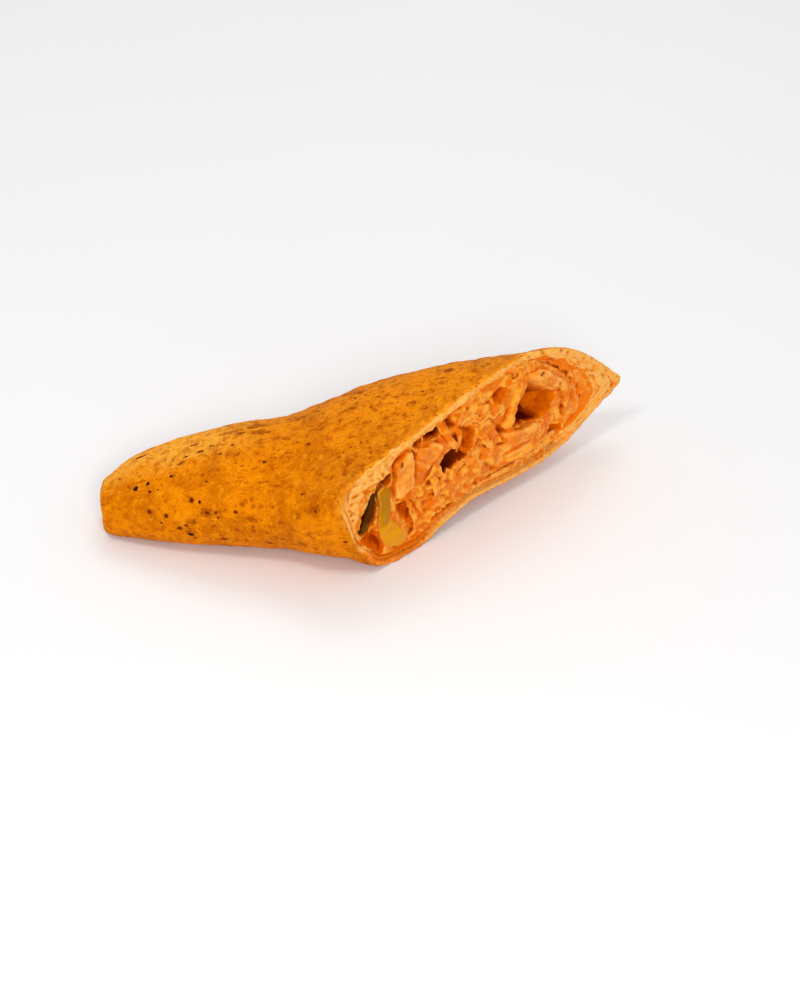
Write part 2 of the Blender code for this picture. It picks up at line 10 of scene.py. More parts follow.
import bpy
import numpy as np
from mathutils.bvhtree import BVHTree
from mathutils.kdtree import KDTree
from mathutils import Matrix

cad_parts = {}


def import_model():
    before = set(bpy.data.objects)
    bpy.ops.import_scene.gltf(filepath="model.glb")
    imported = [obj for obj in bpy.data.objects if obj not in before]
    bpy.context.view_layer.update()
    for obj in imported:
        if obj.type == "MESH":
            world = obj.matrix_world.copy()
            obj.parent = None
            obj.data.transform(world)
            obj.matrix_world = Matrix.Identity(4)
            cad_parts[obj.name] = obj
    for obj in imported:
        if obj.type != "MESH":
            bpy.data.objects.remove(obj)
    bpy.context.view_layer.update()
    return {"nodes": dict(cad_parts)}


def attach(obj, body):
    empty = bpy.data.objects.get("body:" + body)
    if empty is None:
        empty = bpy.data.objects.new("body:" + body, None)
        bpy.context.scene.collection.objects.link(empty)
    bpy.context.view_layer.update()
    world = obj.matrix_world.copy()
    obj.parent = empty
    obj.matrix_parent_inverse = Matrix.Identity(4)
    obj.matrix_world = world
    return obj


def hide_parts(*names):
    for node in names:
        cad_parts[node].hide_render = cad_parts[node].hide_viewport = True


Array = np.ndarray
Object = bpy.types.Object
Socket = bpy.types.NodeSocket
Material = bpy.types.Material
Points = tuple[tuple[float, ...], ...]
Span = tuple[float, float]
Place = tuple[float, float, float]

LOG = logging.getLogger("wrap")
MM = 0.001
CUT_TURN_DEG = 42.3  # of the cut from the wrap's length
CUT_ZERO = np.array([7.486, -23.29, 0.0])  # low near corner of the cut, in mm
CUT_MIDDLE = (30.0, 23.0)
FAR_SIDE = (50.0, 64.0)  # from here on, hollows run back along the wrap
TAPER = 0.012  # how far hollows close in towards the cut's middle in each mm
BEHIND_CUT = 1.5  # depth in mm from which that starts
RANDOM_SEED = 11
LAID_SEED, LOOSE_SEED = 100, 200  # of the first strand that is listed, and of the first loose one
LOOSE_FLAT, LOOSE_STEPS = 0.36, 7  # flatness of a loose strand, and the points along it
PLY_SEED, PLY_SEED_STEP = 70, 7  # of the first ply, and from ply to ply
WAVE_GAIN = 1.7  # brings the waves' crests to about 1
SAMPLES = 16  # of a smooth path, between two of the points it passes
WEIGHT_STEPS = 20  # between a weight of 0 and one of 1


# ---------------------------------------------------------------- working tools


class CutPlane:
    """The slanted cut: u runs along it, v up it and h out of it, all in mm."""

    along = np.array([math.cos(math.radians(CUT_TURN_DEG)), math.sin(math.radians(CUT_TURN_DEG)), 0.0])
    outward = np.array([math.sin(math.radians(CUT_TURN_DEG)), -math.cos(math.radians(CUT_TURN_DEG)), 0.0])
    up = np.array([0.0, 0.0, 1.0])

    @classmethod
    def place(cls, u: Array, v: Array, h: Array) -> Array:
        """Turns places on the cut into places in the scene.

        Args:
            u: Distances along the cut.
            v: Heights above the floor.
            h: Heights out of the cut; deep ones close in towards its middle.

        Returns:
            One row of x, y, z in mm for each place.
        """
        u, v, h = (np.asarray(value, float)[..., None] for value in (u, v, h))
        sunk = np.minimum(h + BEHIND_CUT, 0.0)
        far = eased(u, *FAR_SIDE)
        v = CUT_MIDDLE[1] + (v - CUT_MIDDLE[1]) * (1.0 + TAPER * sunk)
        straight_back = sunk * cls.along[0] / cls.outward[0]
        u = u + (CUT_MIDDLE[0] - u) * -TAPER * sunk * (1.0 - far) + straight_back * far
        return CUT_ZERO + u * cls.along + v * cls.up + h * cls.outward

    @classmethod
    def read(cls, places: Array) -> tuple[Array, Array, Array]:
        """Turns places in the scene into u, v and the plain distance h from the cut.

        Args:
            places: Rows of x, y, z in mm.

        Returns:
            The arrays u, v and h.
        """
        offset = places - CUT_ZERO
        return offset @ cls.along, places[:, 2], offset @ cls.outward


def eased(value: Array, low: float, high: float) -> Array:
    """Steps smoothly from 0 at low to 1 at high.

    Args:
        value: The numbers to step over.
        low: Where the step starts.
        high: Where it ends.

    Returns:
        The step's values.
    """
    share = np.clip((np.asarray(value, float) - low) / (high - low), 0.0, 1.0)
    return share * share * (3.0 - 2.0 * share)


def bell(value: Array, middle: float | Array, width: float) -> Array:
    """Rises to 1 at the middle and falls off over the width on either side.

    Args:
        value: The numbers to look at.
        middle: Where the bell is highest.
        width: How far from there it is down to 0.37.

    Returns:
        The bell's values.
    """
    return np.exp(-(((value - middle) / width) ** 2))


def level_rows(u: Array, v: Array) -> Array:
    """Rows of u, v and 0, for waves that run along the cut."""
    return np.stack([u, v, np.zeros_like(u)], axis=1)


def soft_max(first: Array, second: Array, reach: float) -> Array:
    """The higher of two surfaces, with a fillet where they meet.

    Args:
        first: One surface.
        second: The other.
        reach: Size of the fillet.

    Returns:
        The joined surface.
    """
    share = np.clip(0.5 + 0.5 * (first - second) / reach, 0.0, 1.0)
    return second + (first - second) * share + reach * share * (1.0 - share)


def _hashed(cell: Array, seed: int) -> Array:
    """A scrambled whole number for each cell of a lattice, by multiplying with large primes.

    Args:
        cell: Rows of whole numbers.
        seed: Picks another scramble.

    Returns:
        One number from 0 to 65535 for each row.
    """
    mixed = cell[:, 0] * 73856093 ^ cell[:, 1] * 19349663 ^ cell[:, 2] * 83492791 ^ (seed * 2654435761 % 2**31)
    mixed = (mixed ^ (mixed >> 13)) * 1274126177
    return (mixed ^ (mixed >> 16)) & 65535


_SLOPES = np.random.default_rng(5).normal(size=(256, 3))
_SLOPES /= np.linalg.norm(_SLOPES, axis=1)[:, None]


def waves(places: Array, size: float | Place, seed: int) -> Array:
    """Smooth random waves, from about -1 to 1.

    Args:
        places: Rows of x, y, z.
        size: How far apart the crests are, or that for each axis.
        seed: Picks other waves.

    Returns:
        One height for each place.
    """
    scaled = places / np.asarray(size, float) + seed * 7.31
    cell = np.floor(scaled).astype(np.int64)
    inside = scaled - cell
    ease = inside**3 * (inside * (inside * 6 - 15) + 10)
    total = np.zeros(len(places))
    for corner in np.ndindex(2, 2, 2):
        slope = _SLOPES[_hashed(cell + corner, seed) & 255]
        weight = np.prod(np.where(corner, ease, 1 - ease), axis=1)
        total += weight * ((inside - corner) * slope).sum(axis=1)
    return total * WAVE_GAIN


def cells(places: Array, size: float | Place, seed: int) -> tuple[Array, Array]:
    """Distances to scattered points, one in each cell of a lattice.

    Args:
        places: Rows of x, y, z.
        size: Size of a cell, or that for each axis.
        seed: Picks other points.

    Returns:
        The distance to the nearest point in cell sizes, and that point's random number from 0 to 1.
    """
    scaled = places / np.asarray(size, float) + seed * 3.17
    cell = np.floor(scaled).astype(np.int64)
    nearest = np.full(len(places), 9.0)
    drawn = np.zeros(len(places))
    for step in np.ndindex(3, 3, 3):
        near = cell + np.array(step) - 1
        spot = np.stack([_hashed(near, seed + k) / 65535.0 for k in range(3)], axis=1)
        gap = np.linalg.norm(near + spot - scaled, axis=1)
        closer = gap < nearest
        nearest = np.where(closer, gap, nearest)
        drawn = np.where(closer, _hashed(near, seed + 9) / 65535.0, drawn)
    return nearest, drawn


def smooth_path(points: Points, count: int) -> Array:
    """A smooth curve through points, in even steps.

    Args:
        points: The points it passes.
        count: How many points to give back.

    Returns:
        Rows of the same width as the points.
    """
    knots = np.array(points, float)
    padded = np.vstack([2 * knots[0] - knots[1], knots, 2 * knots[-1] - knots[-2]])
    fine = []
    for before, start, end, after in zip(padded, padded[1:], padded[2:], padded[3:]):
        q = np.linspace(0.0, 1.0, SAMPLES, endpoint=False)[:, None]
        squared = (2 * before - 5 * start + 4 * end - after) * q**2
        cubed = (3 * start - before - 3 * end + after) * q**3
        fine.append(0.5 * (2 * start + (end - before) * q + squared + cubed))
    line = np.vstack([*fine, knots[-1:]])
    travelled = np.concatenate([[0.0], np.cumsum(np.linalg.norm(np.diff(line, axis=0), axis=1))])
    marks = np.linspace(0.0, travelled[-1], count)
    return np.stack([np.interp(marks, travelled, column) for column in line.T], axis=1)


def along_path(u: Array, v: Array, path: Array) -> tuple[Array, Array, Array]:
    """How far places on the cut are from a path.

    Args:
        u: Places along the cut.
        v: Places up the cut.
        path: Rows whose first two columns are u and v.

    Returns:
        The distance, the share of the path travelled at the nearest point, and the side, 1 on the left.
    """
    best = np.full(u.shape, 1e9)
    travelled = np.zeros(u.shape)
    side = np.ones(u.shape)
    for k in range(len(path) - 1):
        start, run = path[k, :2], path[k + 1, :2] - path[k, :2]
        q = np.clip(((u - start[0]) * run[0] + (v - start[1]) * run[1]) / max(run @ run, 1e-9), 0.0, 1.0)
        du, dv = u - start[0] - q * run[0], v - start[1] - q * run[1]
        gap = np.hypot(du, dv)
        closer = gap < best
        best = np.where(closer, gap, best)
        travelled = np.where(closer, (k + q) / (len(path) - 1), travelled)
        side = np.where(closer, np.sign(run[0] * dv - run[1] * du), side)
    return best, travelled, side


def inside_outline(u: Array, v: Array, outline: Array) -> Array:
    """Which places on the cut lie in a closed outline.

    Args:
        u: Places along the cut.
        v: Places up the cut.
        outline: Rows of u and v.

    Returns:
        True for each place inside.
    """
    result = np.zeros(u.shape, bool)
    for (u0, v0), (u1, v1) in zip(outline, np.roll(outline, -1, axis=0)):
        crosses = (v0 > v) != (v1 > v)
        at = u0 + (v - v0) * (u1 - u0) / (v1 - v0 if v1 != v0 else 1e-9)
        result ^= crosses & (u < at)
    return result


def new_object(name: str, data: bpy.types.ID) -> Object:
    """Puts new data into the scene as an object."""
    obj = bpy.data.objects.new(name, data)
    bpy.context.scene.collection.objects.link(obj)
    return obj


def new_line(name: str, count: int) -> tuple[Object, bpy.types.Spline]:
    """Adds a curve of straight segments.

    Args:
        name: The curve's name.
        count: How many points it has.

    Returns:
        The curve's object and its spline.
    """
    obj = new_object(name, bpy.data.curves.new(name, "CURVE"))
    spline = obj.data.splines.new("POLY")
    spline.points.add(count - 1)
    return obj, spline


def new_grid(columns: int, rows: int) -> tuple[Object, Array, Array]:
    """Adds a flat grid.

    Args:
        columns: How many faces it has along it.
        rows: How many faces it has across it.

    Returns:
        The grid, and how far along it and across it each point lies, from 0 to 1.
    """
    bpy.ops.object.select_all(action="DESELECT")
    bpy.ops.mesh.primitive_grid_add(x_subdivisions=columns, y_subdivisions=rows, size=2.0)
    grid = bpy.context.active_object
    flat = read_places(grid) * MM
    return grid, (flat[:, 0] + 1.0) / 2.0, (flat[:, 1] + 1.0) / 2.0


def only(*objects: Object) -> None:
    """Selects these objects and nothing else, and makes the first one active.

    Args:
        objects: The objects to select.
    """
    bpy.ops.object.select_all(action="DESELECT")
    for obj in objects:
        obj.select_set(True)
    bpy.context.view_layer.objects.active = objects[0]


def read_places(obj: Object) -> Array:
    """The places of a mesh's points in mm, as rows."""
    flat = np.zeros(len(obj.data.vertices) * 3, np.float32)
    obj.data.vertices.foreach_get("co", flat)
    return flat.reshape(-1, 3).astype(float) / MM


def read_normals(obj: Object) -> Array:
    """The directions in which a mesh's points face, as rows."""
    flat = np.zeros(len(obj.data.vertices) * 3, np.float32)
    obj.data.vertex_normals.foreach_get("vector", flat)
    return flat.reshape(-1, 3).astype(float)


def write_places(obj: Object, places: Array) -> None:
    """Moves a mesh's points to these places in mm."""
    obj.data.vertices.foreach_set("co", (places * MM).astype(np.float32).ravel())
    obj.data.update()


def paint(obj: Object, **layers: Array) -> None:
    """Keeps numbers on the points of a mesh, for its material to read.

    Args:
        obj: The mesh's object.
        layers: For each attribute, one number for each point.
    """
    for name, values in layers.items():
        layer = obj.data.attributes.get(name) or obj.data.attributes.new(name, "FLOAT", "POINT")
        layer.data.foreach_set("value", np.clip(values, 0.0, 1.0).astype(np.float32))


def weigh(obj: Object, name: str, weights: Array) -> str:
    """Keeps weights for a modifier in a vertex group.

    Args:
        obj: The mesh's object.
        name: The group's name.
        weights: One weight for each point.

    Returns:
        The group's name.
    """
    group = obj.vertex_groups.new(name=name)
    steps = np.round(np.clip(weights, 0.0, 1.0) * WEIGHT_STEPS).astype(int)
    for step in np.unique(steps):
        if step:
            group.add(np.flatnonzero(steps == step).tolist(), step / WEIGHT_STEPS, "REPLACE")
    return name


def finish_with(obj: Object, kind: str, **settings: object) -> None:
    """Adds a modifier and applies it.

    Args:
        obj: The object to change.
        kind: The modifier's type.
        settings: The modifier's values.
    """
    only(obj)
    modifier = obj.modifiers.new(kind.lower(), kind)
    for key, value in settings.items():
        setattr(modifier, key, value)
    bpy.ops.object.modifier_apply(modifier=modifier.name)


def remesh(obj: Object, voxel: float, smoothing: int) -> None:
    """Rebuilds a mesh from small cells.

    Args:
        obj: The object to rebuild.
        voxel: Size of a cell in mm.
        smoothing: How often the new mesh is smoothed.
    """
    finish_with(obj, "REMESH", mode="VOXEL", voxel_size=voxel * MM, adaptivity=0.0)
    if smoothing:
        finish_with(obj, "SMOOTH", factor=0.5, iterations=smoothing)


def select_points(obj: Object, chosen: Array) -> None:
    """Goes into edit mode with these points selected and nothing else.

    Args:
        obj: The object to edit.
        chosen: True for each point to select.
    """
    only(obj)
    bpy.ops.object.mode_set(mode="EDIT")
    bpy.ops.mesh.select_mode(type="VERT")
    bpy.ops.mesh.select_all(action="DESELECT")
    bpy.ops.object.mode_set(mode="OBJECT")
    obj.data.vertices.foreach_set("select", chosen)
    bpy.ops.object.mode_set(mode="EDIT")


def edit_all(obj: Object) -> None:
    """Goes into edit mode with everything selected."""
    only(obj)
    bpy.ops.object.mode_set(mode="EDIT")
    bpy.ops.mesh.select_all(action="SELECT")


def leave_shaded(obj: Object) -> Object:
    """Smooths an object's shading and gives it back."""
    obj.data.polygons.foreach_set("use_smooth", np.ones(len(obj.data.polygons), bool))
    obj.data.update()
    return obj


def leave_edit(obj: Object) -> Object:
    """Leaves edit mode, smooths the object's shading and gives it back."""
    bpy.ops.object.mode_set(mode="OBJECT")
    return leave_shaded(obj)


def edges_of(obj: Object) -> Array:
    """The two points of each edge of a mesh, as rows."""
    ends = np.zeros(len(obj.data.edges) * 2, np.int32)
    obj.data.edges.foreach_get("vertices", ends)
    return ends.reshape(-1, 2)


def sunken(obj: Object, rounds: int) -> Array:
    """How far a mesh's points lie below their surroundings.

    Args:
        obj: The mesh's object.
        rounds: How often the surroundings are averaged: more reach further.

    Returns:
        The depth in mm of each point, below 0 on a crest.
    """
    places, normals = read_places(obj), read_normals(obj)
    first, second = edges_of(obj).T
    count = len(places)
    degree = np.maximum(np.bincount(first, minlength=count) + np.bincount(second, minlength=count), 1)
    level = places.copy()
    for _ in range(rounds):
        for axis in range(3):
            near = np.bincount(first, level[second, axis], count) + np.bincount(second, level[first, axis], count)
            level[:, axis] = 0.5 * level[:, axis] + 0.5 * near / degree
    return ((level - places) * normals).sum(axis=1)


def read_painted(obj: Object, name: str) -> Array:
    """The numbers kept on a mesh's points, or zeros where there are none."""
    values = np.zeros(len(obj.data.vertices), np.float32)
    if name in obj.data.attributes:
        obj.data.attributes[name].data.foreach_get("value", values)
    return values


def copy_of(node: Object, name: str) -> Object:
    """A merged copy of a CAD node's mesh as an object of its own.

    Args:
        node: The CAD node.
        name: The copy's name.

    Returns:
        The new object, with no material.
    """
    mesh = node.data.copy()
    mesh.name = name
    mesh.materials.clear()
    obj = new_object(name, mesh)
    select_points(obj, np.ones(len(mesh.vertices), bool))
    bpy.ops.mesh.remove_doubles(threshold=1e-6)
    bpy.ops.mesh.normals_make_consistent(inside=False)
    return leave_edit(obj)


def report(piece: Object) -> None:
    """Logs a piece's triangles."""
    LOG.info("%s: %d triangles", piece.name, sum(face.loop_total - 2 for face in piece.data.polygons))


def joined(name: str, *objects: Object) -> Object:
    """Joins objects into the first one.

    Args:
        name: The joined object's name.
        objects: The objects to join.

    Returns:
        The joined object.
    """
    only(*objects)
    if len(objects) > 1:
        bpy.ops.object.join()
    objects[0].name = objects[0].data.name = name
    return objects[0]


# ---------------------------------------------------------------- finishes


class NodeKit:
    """Short calls for wiring a material's nodes."""

    def __init__(self, name: str) -> None:
        """Starts a material with an empty principled shader."""
        self.material = bpy.data.materials.new(name)
        self.material.use_nodes = True
        self.tree = self.material.node_tree
        self.shader = self.tree.nodes["Principled BSDF"]
        self.coords = self.node("ShaderNodeTexCoord", {}).outputs["Object"]

    def set(self, **values: float | tuple) -> None:
        """Sets constant values on the shader's own sockets, with _ for a space."""
        for key, value in values.items():
            self.shader.inputs[key.replace("_", " ")].default_value = value

    def node(self, kind: str, inputs: dict[str | int, object], **settings: str) -> bpy.types.Node:
        """Adds a node.

        Args:
            kind: Its type.
            inputs: For each of its inputs, the socket to link or the constant to set.
            settings: Its other values.

        Returns:
            The node.
        """
        node = self.tree.nodes.new(kind)
        for key, value in settings.items():
            setattr(node, key, value)
        for key, value in inputs.items():
            if isinstance(value, Socket):
                self.tree.links.new(value, node.inputs[key])
            else:
                node.inputs[key].default_value = value
        return node

    def attribute(self, name: str) -> Socket:
        """A number kept on the mesh's points."""
        return self.node("ShaderNodeAttribute", {}, attribute_name=name).outputs["Fac"]

    def scaled(self, scale: Place, turn: Place = (0.0, 0.0, 0.0)) -> Socket:
        """Object coordinates, turned by radians about each axis and then scaled along each."""
        turned = self.node("ShaderNodeMapping", {"Vector": self.coords, "Rotation": turn})
        return self.node("ShaderNodeMapping", {"Vector": turned.outputs[0], "Scale": scale}).outputs[0]

    def noise(
        self, size_mm: float, detail: float = 3.0, rough: float = 0.55, vector: Socket | None = None
    ) -> Socket:
        """Cloudy noise.

        Args:
            size_mm: Size of its features.
            detail: Octaves.
            rough: Strength of the finer octaves.
            vector: Coordinates to use instead of the object's.

        Returns:
            Its value socket.
        """
        scale = 1.0 / (size_mm * MM)
        inputs = {"Vector": vector or self.coords, "Scale": scale, "Detail": detail, "Roughness": rough}
        return self.node("ShaderNodeTexNoise", inputs).outputs["Fac"]

    def warped(self, size_mm: float, reach_mm: float, vector: Socket | None = None) -> Socket:
        """Object coordinates pushed about by noise.

        Args:
            size_mm: Size of the noise's features.
            reach_mm: How far it pushes.
            vector: Coordinates to use instead of the object's.

        Returns:
            The vector socket.
        """
        inputs = {"Vector": self.coords, "Scale": 1.0 / (size_mm * MM), "Detail": 2.0}
        push = self.node("ShaderNodeTexNoise", inputs).outputs["Color"]
        inputs = {0: push, 1: (2.0 * reach_mm * MM,) * 3, 2: vector or self.coords}
        return self.node("ShaderNodeVectorMath", inputs, operation="MULTIPLY_ADD").outputs["Vector"]

    def spots(self, size_mm: float, vector: Socket | None = None) -> Socket:
        """Distance to the nearest of many scattered points, in cell sizes.

        Args:
            size_mm: Size of a cell.
            vector: Coordinates to use instead of the object's.

        Returns:
            Its distance socket.
        """
        inputs = {"Vector": vector or self.coords, "Scale": 1.0 / (size_mm * MM)}
        return self.node("ShaderNodeTexVoronoi", inputs).outputs["Distance"]

    def ranged(
        self, value: Socket, low: float, high: float, to_low: float = 0.0, to_high: float = 1.0
    ) -> Socket:
        """Maps low..high to to_low..to_high with a smooth step.

        Args:
            value: The socket to map.
            low: Start of the range read.
            high: End of the range read.
            to_low: What low becomes.
            to_high: What high becomes.

        Returns:
            The mapped socket.
        """
        inputs = {"Value": value, "From Min": low, "From Max": high, "To Min": to_low, "To Max": to_high}
        return self.node("ShaderNodeMapRange", inputs, interpolation_type="SMOOTHSTEP").outputs["Result"]

    def sum(self, first: Socket, second: Socket) -> Socket:
        """Adds two numbers."""
        return self.node("ShaderNodeMath", {0: first, 1: second}, operation="ADD").outputs[0]

    def times(self, first: Socket, *factors: Socket | float) -> Socket:
        """Multiplies a number by others."""
        for factor in factors:
            first = self.node("ShaderNodeMath", {0: first, 1: factor}, operation="MULTIPLY").outputs[0]
        return first

    def flecks(
        self, size_mm: float, edge: Span, cluster_mm: float, gate: Span, vector: Socket | None = None
    ) -> Socket:
        """Round flecks that come in clusters.

        Args:
            size_mm: Size of the cell that holds one fleck.
            edge: Between which distances from its middle a fleck fades, in cell sizes.
            cluster_mm: Size of the clusters.
            gate: Between which values of the clusters' noise the flecks come up.
            vector: Coordinates to use instead of the object's.

        Returns:
            The socket: 1 in a fleck, 0 between flecks.
        """
        fleck = self.ranged(self.spots(size_mm, vector), *edge, 1.0, 0.0)
        return self.times(fleck, self.ranged(self.noise(cluster_mm, 1.0), *gate))

    def blended(self, share: Socket, first: Socket | tuple, second: Socket | tuple) -> Socket:
        """Mixes two colours.

        Args:
            share: How much of the second.
            first: The first colour.
            second: The second colour.

        Returns:
            The colour socket.
        """
        ends = [(*colour, 1.0) if isinstance(colour, tuple) else colour for colour in (first, second)]
        inputs = {"Factor": share, 6: ends[0], 7: ends[1]}
        return self.node("ShaderNodeMix", inputs, data_type="RGBA").outputs[2]

    def bumped(self, *layers: tuple[Socket, float]) -> None:
        """Adds fine relief.

        Args:
            layers: Pairs of a height socket and its depth in mm.
        """
        inputs = {}
        for height, depth_mm in layers:
            inputs |= {"Height": height, "Strength": 1.0, "Distance": depth_mm * MM}
            inputs["Normal"] = self.node("ShaderNodeBump", inputs).outputs["Normal"]
        self.tree.links.new(inputs["Normal"], self.shader.inputs["Normal"])

    def colour(self, socket: Socket) -> None:
        """Uses the socket as the base colour."""
        self.tree.links.new(socket, self.shader.inputs["Base Color"])

    def roughness(self, socket: Socket) -> None:
        """Uses the socket as the roughness."""
        self.tree.links.new(socket, self.shader.inputs["Roughness"])


class Look:
    """The recipe of a material."""

    def make(self, name: str) -> Material:
        """Makes the material under this name."""
        kit = NodeKit(name)
        self.wire(kit)
        return kit.material

    def wire(self, kit: NodeKit) -> None:
        """Wires the material's nodes."""
        raise NotImplementedError


@dataclass(frozen=True)
class ToastedDough(Look):
    """The tortilla: golden and mottled outside, cream where it is cut, stained where sauce touches it, with
    painted shade in its grooves and paler places that are partly painted light.
    """

    golden: tuple = (0.86, 0.240, 0.0)
    amber: tuple = (0.46, 0.092, 0.0)
    light: tuple = (0.96, 0.33, 0.004)
    # ridge: the colour of the pale places, partly painted light on the surfaces facing up and back
    ridge: tuple = (1.0, 0.42, 0.035)
    cream: tuple = (1.0, 0.50, 0.120)
    crumb: tuple = (1.0, 0.38, 0.025)
    toasted: tuple = (0.33, 0.050, 0.0)
    dark: tuple = (0.15, 0.018, 0.0)
    charred: tuple = (0.03, 0.005, 0.0)
    stained: tuple = (0.90, 0.205, 0.004)
    shaded: tuple = (0.32, 0.045, 0.0)
    scratch_turn: float = math.radians(30.0)
    streak_turn: float = math.radians(14.0)
    # size in mm, reach in cell sizes, strength and colour of each kind of freckle
    freckles: tuple = (
        (3.3, 0.40, 0.60, "toasted"), (1.5, 0.30, 0.70, "toasted"),
        (2.6, 0.25, 0.80, "dark"), (4.4, 0.14, 0.95, "dark"),
    )  # fmt: skip

    def wire(self, kit: NodeKit) -> None:
        """Wires its colour, its roughness and its fine relief."""
        pushed = kit.warped(1.3, 0.9)
        patch = kit.noise(2.0, 4.0, 0.66, pushed)
        grain = kit.noise(0.85, 3.0, 0.7)
        fine = kit.noise(0.36, 2.0, 0.6)
        scratched = kit.noise(0.55, 3.0, 0.65, kit.scaled((0.30, 1.0, 1.0), (0.0, self.scratch_turn, 0.0)))
        skin = kit.blended(kit.ranged(kit.noise(9.0, 3.0, 0.6), 0.40, 0.62, 0.0, 0.50), self.golden, self.amber)
        for pattern, *span, tint in (
            (patch, 0.32, 0.48, 0.80, 0.0, self.amber),
            (patch, 0.52, 0.70, 0.0, 0.75, self.light),
            (grain, 0.28, 0.46, 0.65, 0.0, self.amber),
            (grain, 0.54, 0.74, 0.0, 0.45, self.light),
            (scratched, 0.30, 0.42, 0.60, 0.0, self.amber),
            (fine, 0.26, 0.42, 0.45, 0.0, self.amber),
        ):
            skin = kit.blended(kit.ranged(pattern, *span), skin, tint)
        # pale places: partly paler, less toasted dough, partly painted light on the surfaces facing up and back
        pale = kit.times(kit.attribute("pale"), kit.ranged(patch, 0.36, 0.60, 0.45, 1.35))
        skin = kit.blended(pale, skin, self.ridge)
        stretched = kit.scaled((0.24, 1.0, 1.0), (0.0, self.streak_turn, 0.0))
        drawn_out = kit.noise(0.95, 3.0, 0.7, kit.warped(3.0, 0.8, stretched))
        streak = kit.times(kit.ranged(drawn_out, 0.32, 0.40, 1.0, 0.0), kit.attribute("streaked"))
        skin = kit.blended(streak, skin, self.toasted)
        uneven = kit.ranged(kit.noise(0.8, 3.0, 0.7), 0.25, 0.75, -0.28, 0.28)
        toast = kit.sum(kit.attribute("toast"), uneven)
        skin = kit.blended(kit.ranged(toast, 0.30, 0.70, 0.0, 0.75), skin, self.toasted)
        skin = kit.blended(kit.ranged(toast, 0.78, 1.10, 0.0, 0.60), skin, self.dark)
        for size, reach, strength, tint in self.freckles:
            freckle = kit.flecks(size, (0.45 * reach, reach), 2.1 * size, (0.43, 0.53), pushed)
            freckle = kit.times(freckle, kit.attribute("freckled"), strength)
            skin = kit.blended(freckle, skin, getattr(self, tint))
        torn = kit.ranged(kit.noise(0.45, 2.0), 0.3, 0.7, -0.035, 0.035)
        skin = kit.blended(kit.ranged(kit.sum(kit.attribute("speck"), torn), 0.46, 0.55), skin, self.dark)
        skin = kit.blended(kit.ranged(kit.sum(kit.attribute("char"), torn), 0.48, 0.53), skin, self.charred)
        dough = kit.blended(kit.ranged(kit.noise(1.8, 3.0), 0.42, 0.66, 0.0, 0.8), self.cream, self.crumb)
        messy = kit.sum(kit.attribute("stain"), kit.ranged(grain, 0.25, 0.75, -0.22, 0.22))
        dough = kit.blended(kit.ranged(messy, 0.15, 0.75), dough, self.stained)
        surface = kit.blended(kit.attribute("dough"), skin, dough)
        kit.colour(kit.blended(kit.attribute("shade"), surface, self.shaded))
        kit.roughness(kit.ranged(grain, 0.3, 0.7, 0.48, 0.70))
        kit.bumped((fine, 0.12), (kit.noise(1.0, 3.0, 0.7), 0.30), (kit.noise(3.4, 2.0), 0.25), (scratched, 0.12))
        kit.set(Specular_IOR_Level=0.02)


@dataclass(frozen=True)
class ChilliSauce(Look):
    """Torn chicken under a creamy orange sauce, with painted shade turning it dark red in the hollows, and paler
    crests that are partly a painted highlight.
    """

    orange: tuple = (0.84, 0.170, 0.001)
    pale: tuple = (1.0, 0.42, 0.040)
    # cream: small flecks on the crests, partly painted glints
    cream: tuple = (1.0, 0.60, 0.180)
    # painted shade: the colour of the valleys, and below it that of the deep hollows
    valley: tuple = (0.42, 0.050, 0.0)
    red: tuple = (0.085, 0.003, 0.0)
    pepper: tuple = (0.10, 0.012, 0.001)
    shine: float = 0.16

    def wire(self, kit: NodeKit) -> None:
        """Wires its colour, its roughness and its fine relief."""
        cloud = kit.noise(3.0, 4.0, 0.6)
        # painted shade: the hollows lose the paler mottle
        raised = kit.ranged(kit.attribute("hollow"), 0.0, 0.6, 1.0, 0.0)
        sauce = kit.blended(kit.times(kit.ranged(cloud, 0.42, 0.68), raised), self.orange, self.pale)
        # paler crests: partly paler sauce, partly a painted highlight
        crest = kit.sum(kit.attribute("pale"), kit.ranged(cloud, 0.3, 0.7, -0.25, 0.25))
        crest = kit.times(kit.ranged(crest, 0.2, 0.85), raised)
        sauce = kit.blended(crest, sauce, self.pale)
        # small cream flecks on the crests, partly painted glints
        drop = kit.flecks(1.5, (0.10, 0.20), 4.0, (0.50, 0.58))
        sauce = kit.blended(kit.times(drop, crest, 0.8), sauce, self.cream)
        # painted shade in the hollows, mottled
        mottled = kit.ranged(kit.noise(2.2, 3.0, 0.6), 0.35, 0.62, 0.45, 0.0)
        sauce = kit.blended(kit.times(mottled, kit.attribute("hollow")), sauce, self.valley)
        # painted shade in the valleys, and dark red painted shade deep in the hollows
        for layer, tint in (("valley", self.valley), ("deep", self.red)):
            sauce = kit.blended(kit.attribute(layer), sauce, tint)
        fleck = kit.flecks(2.6, (0.05, 0.11), 5.0, (0.50, 0.58))
        sauce = kit.blended(kit.times(fleck, 0.8), sauce, self.pepper)
        kit.colour(sauce)
        wet = kit.ranged(kit.noise(1.6, 3.0), 0.35, 0.65, 0.22, 0.46)
        kit.roughness(kit.sum(wet, kit.ranged(kit.attribute("deep"), 0.0, 0.5, 0.0, 0.5)))
        kit.bumped((kit.noise(0.8, 3.0, 0.6), 0.08), (kit.noise(2.4, 3.0), 0.20))
        kit.set(Specular_IOR_Level=self.shine, Specular_Tint=(1.0, 0.55, 0.12, 1.0))


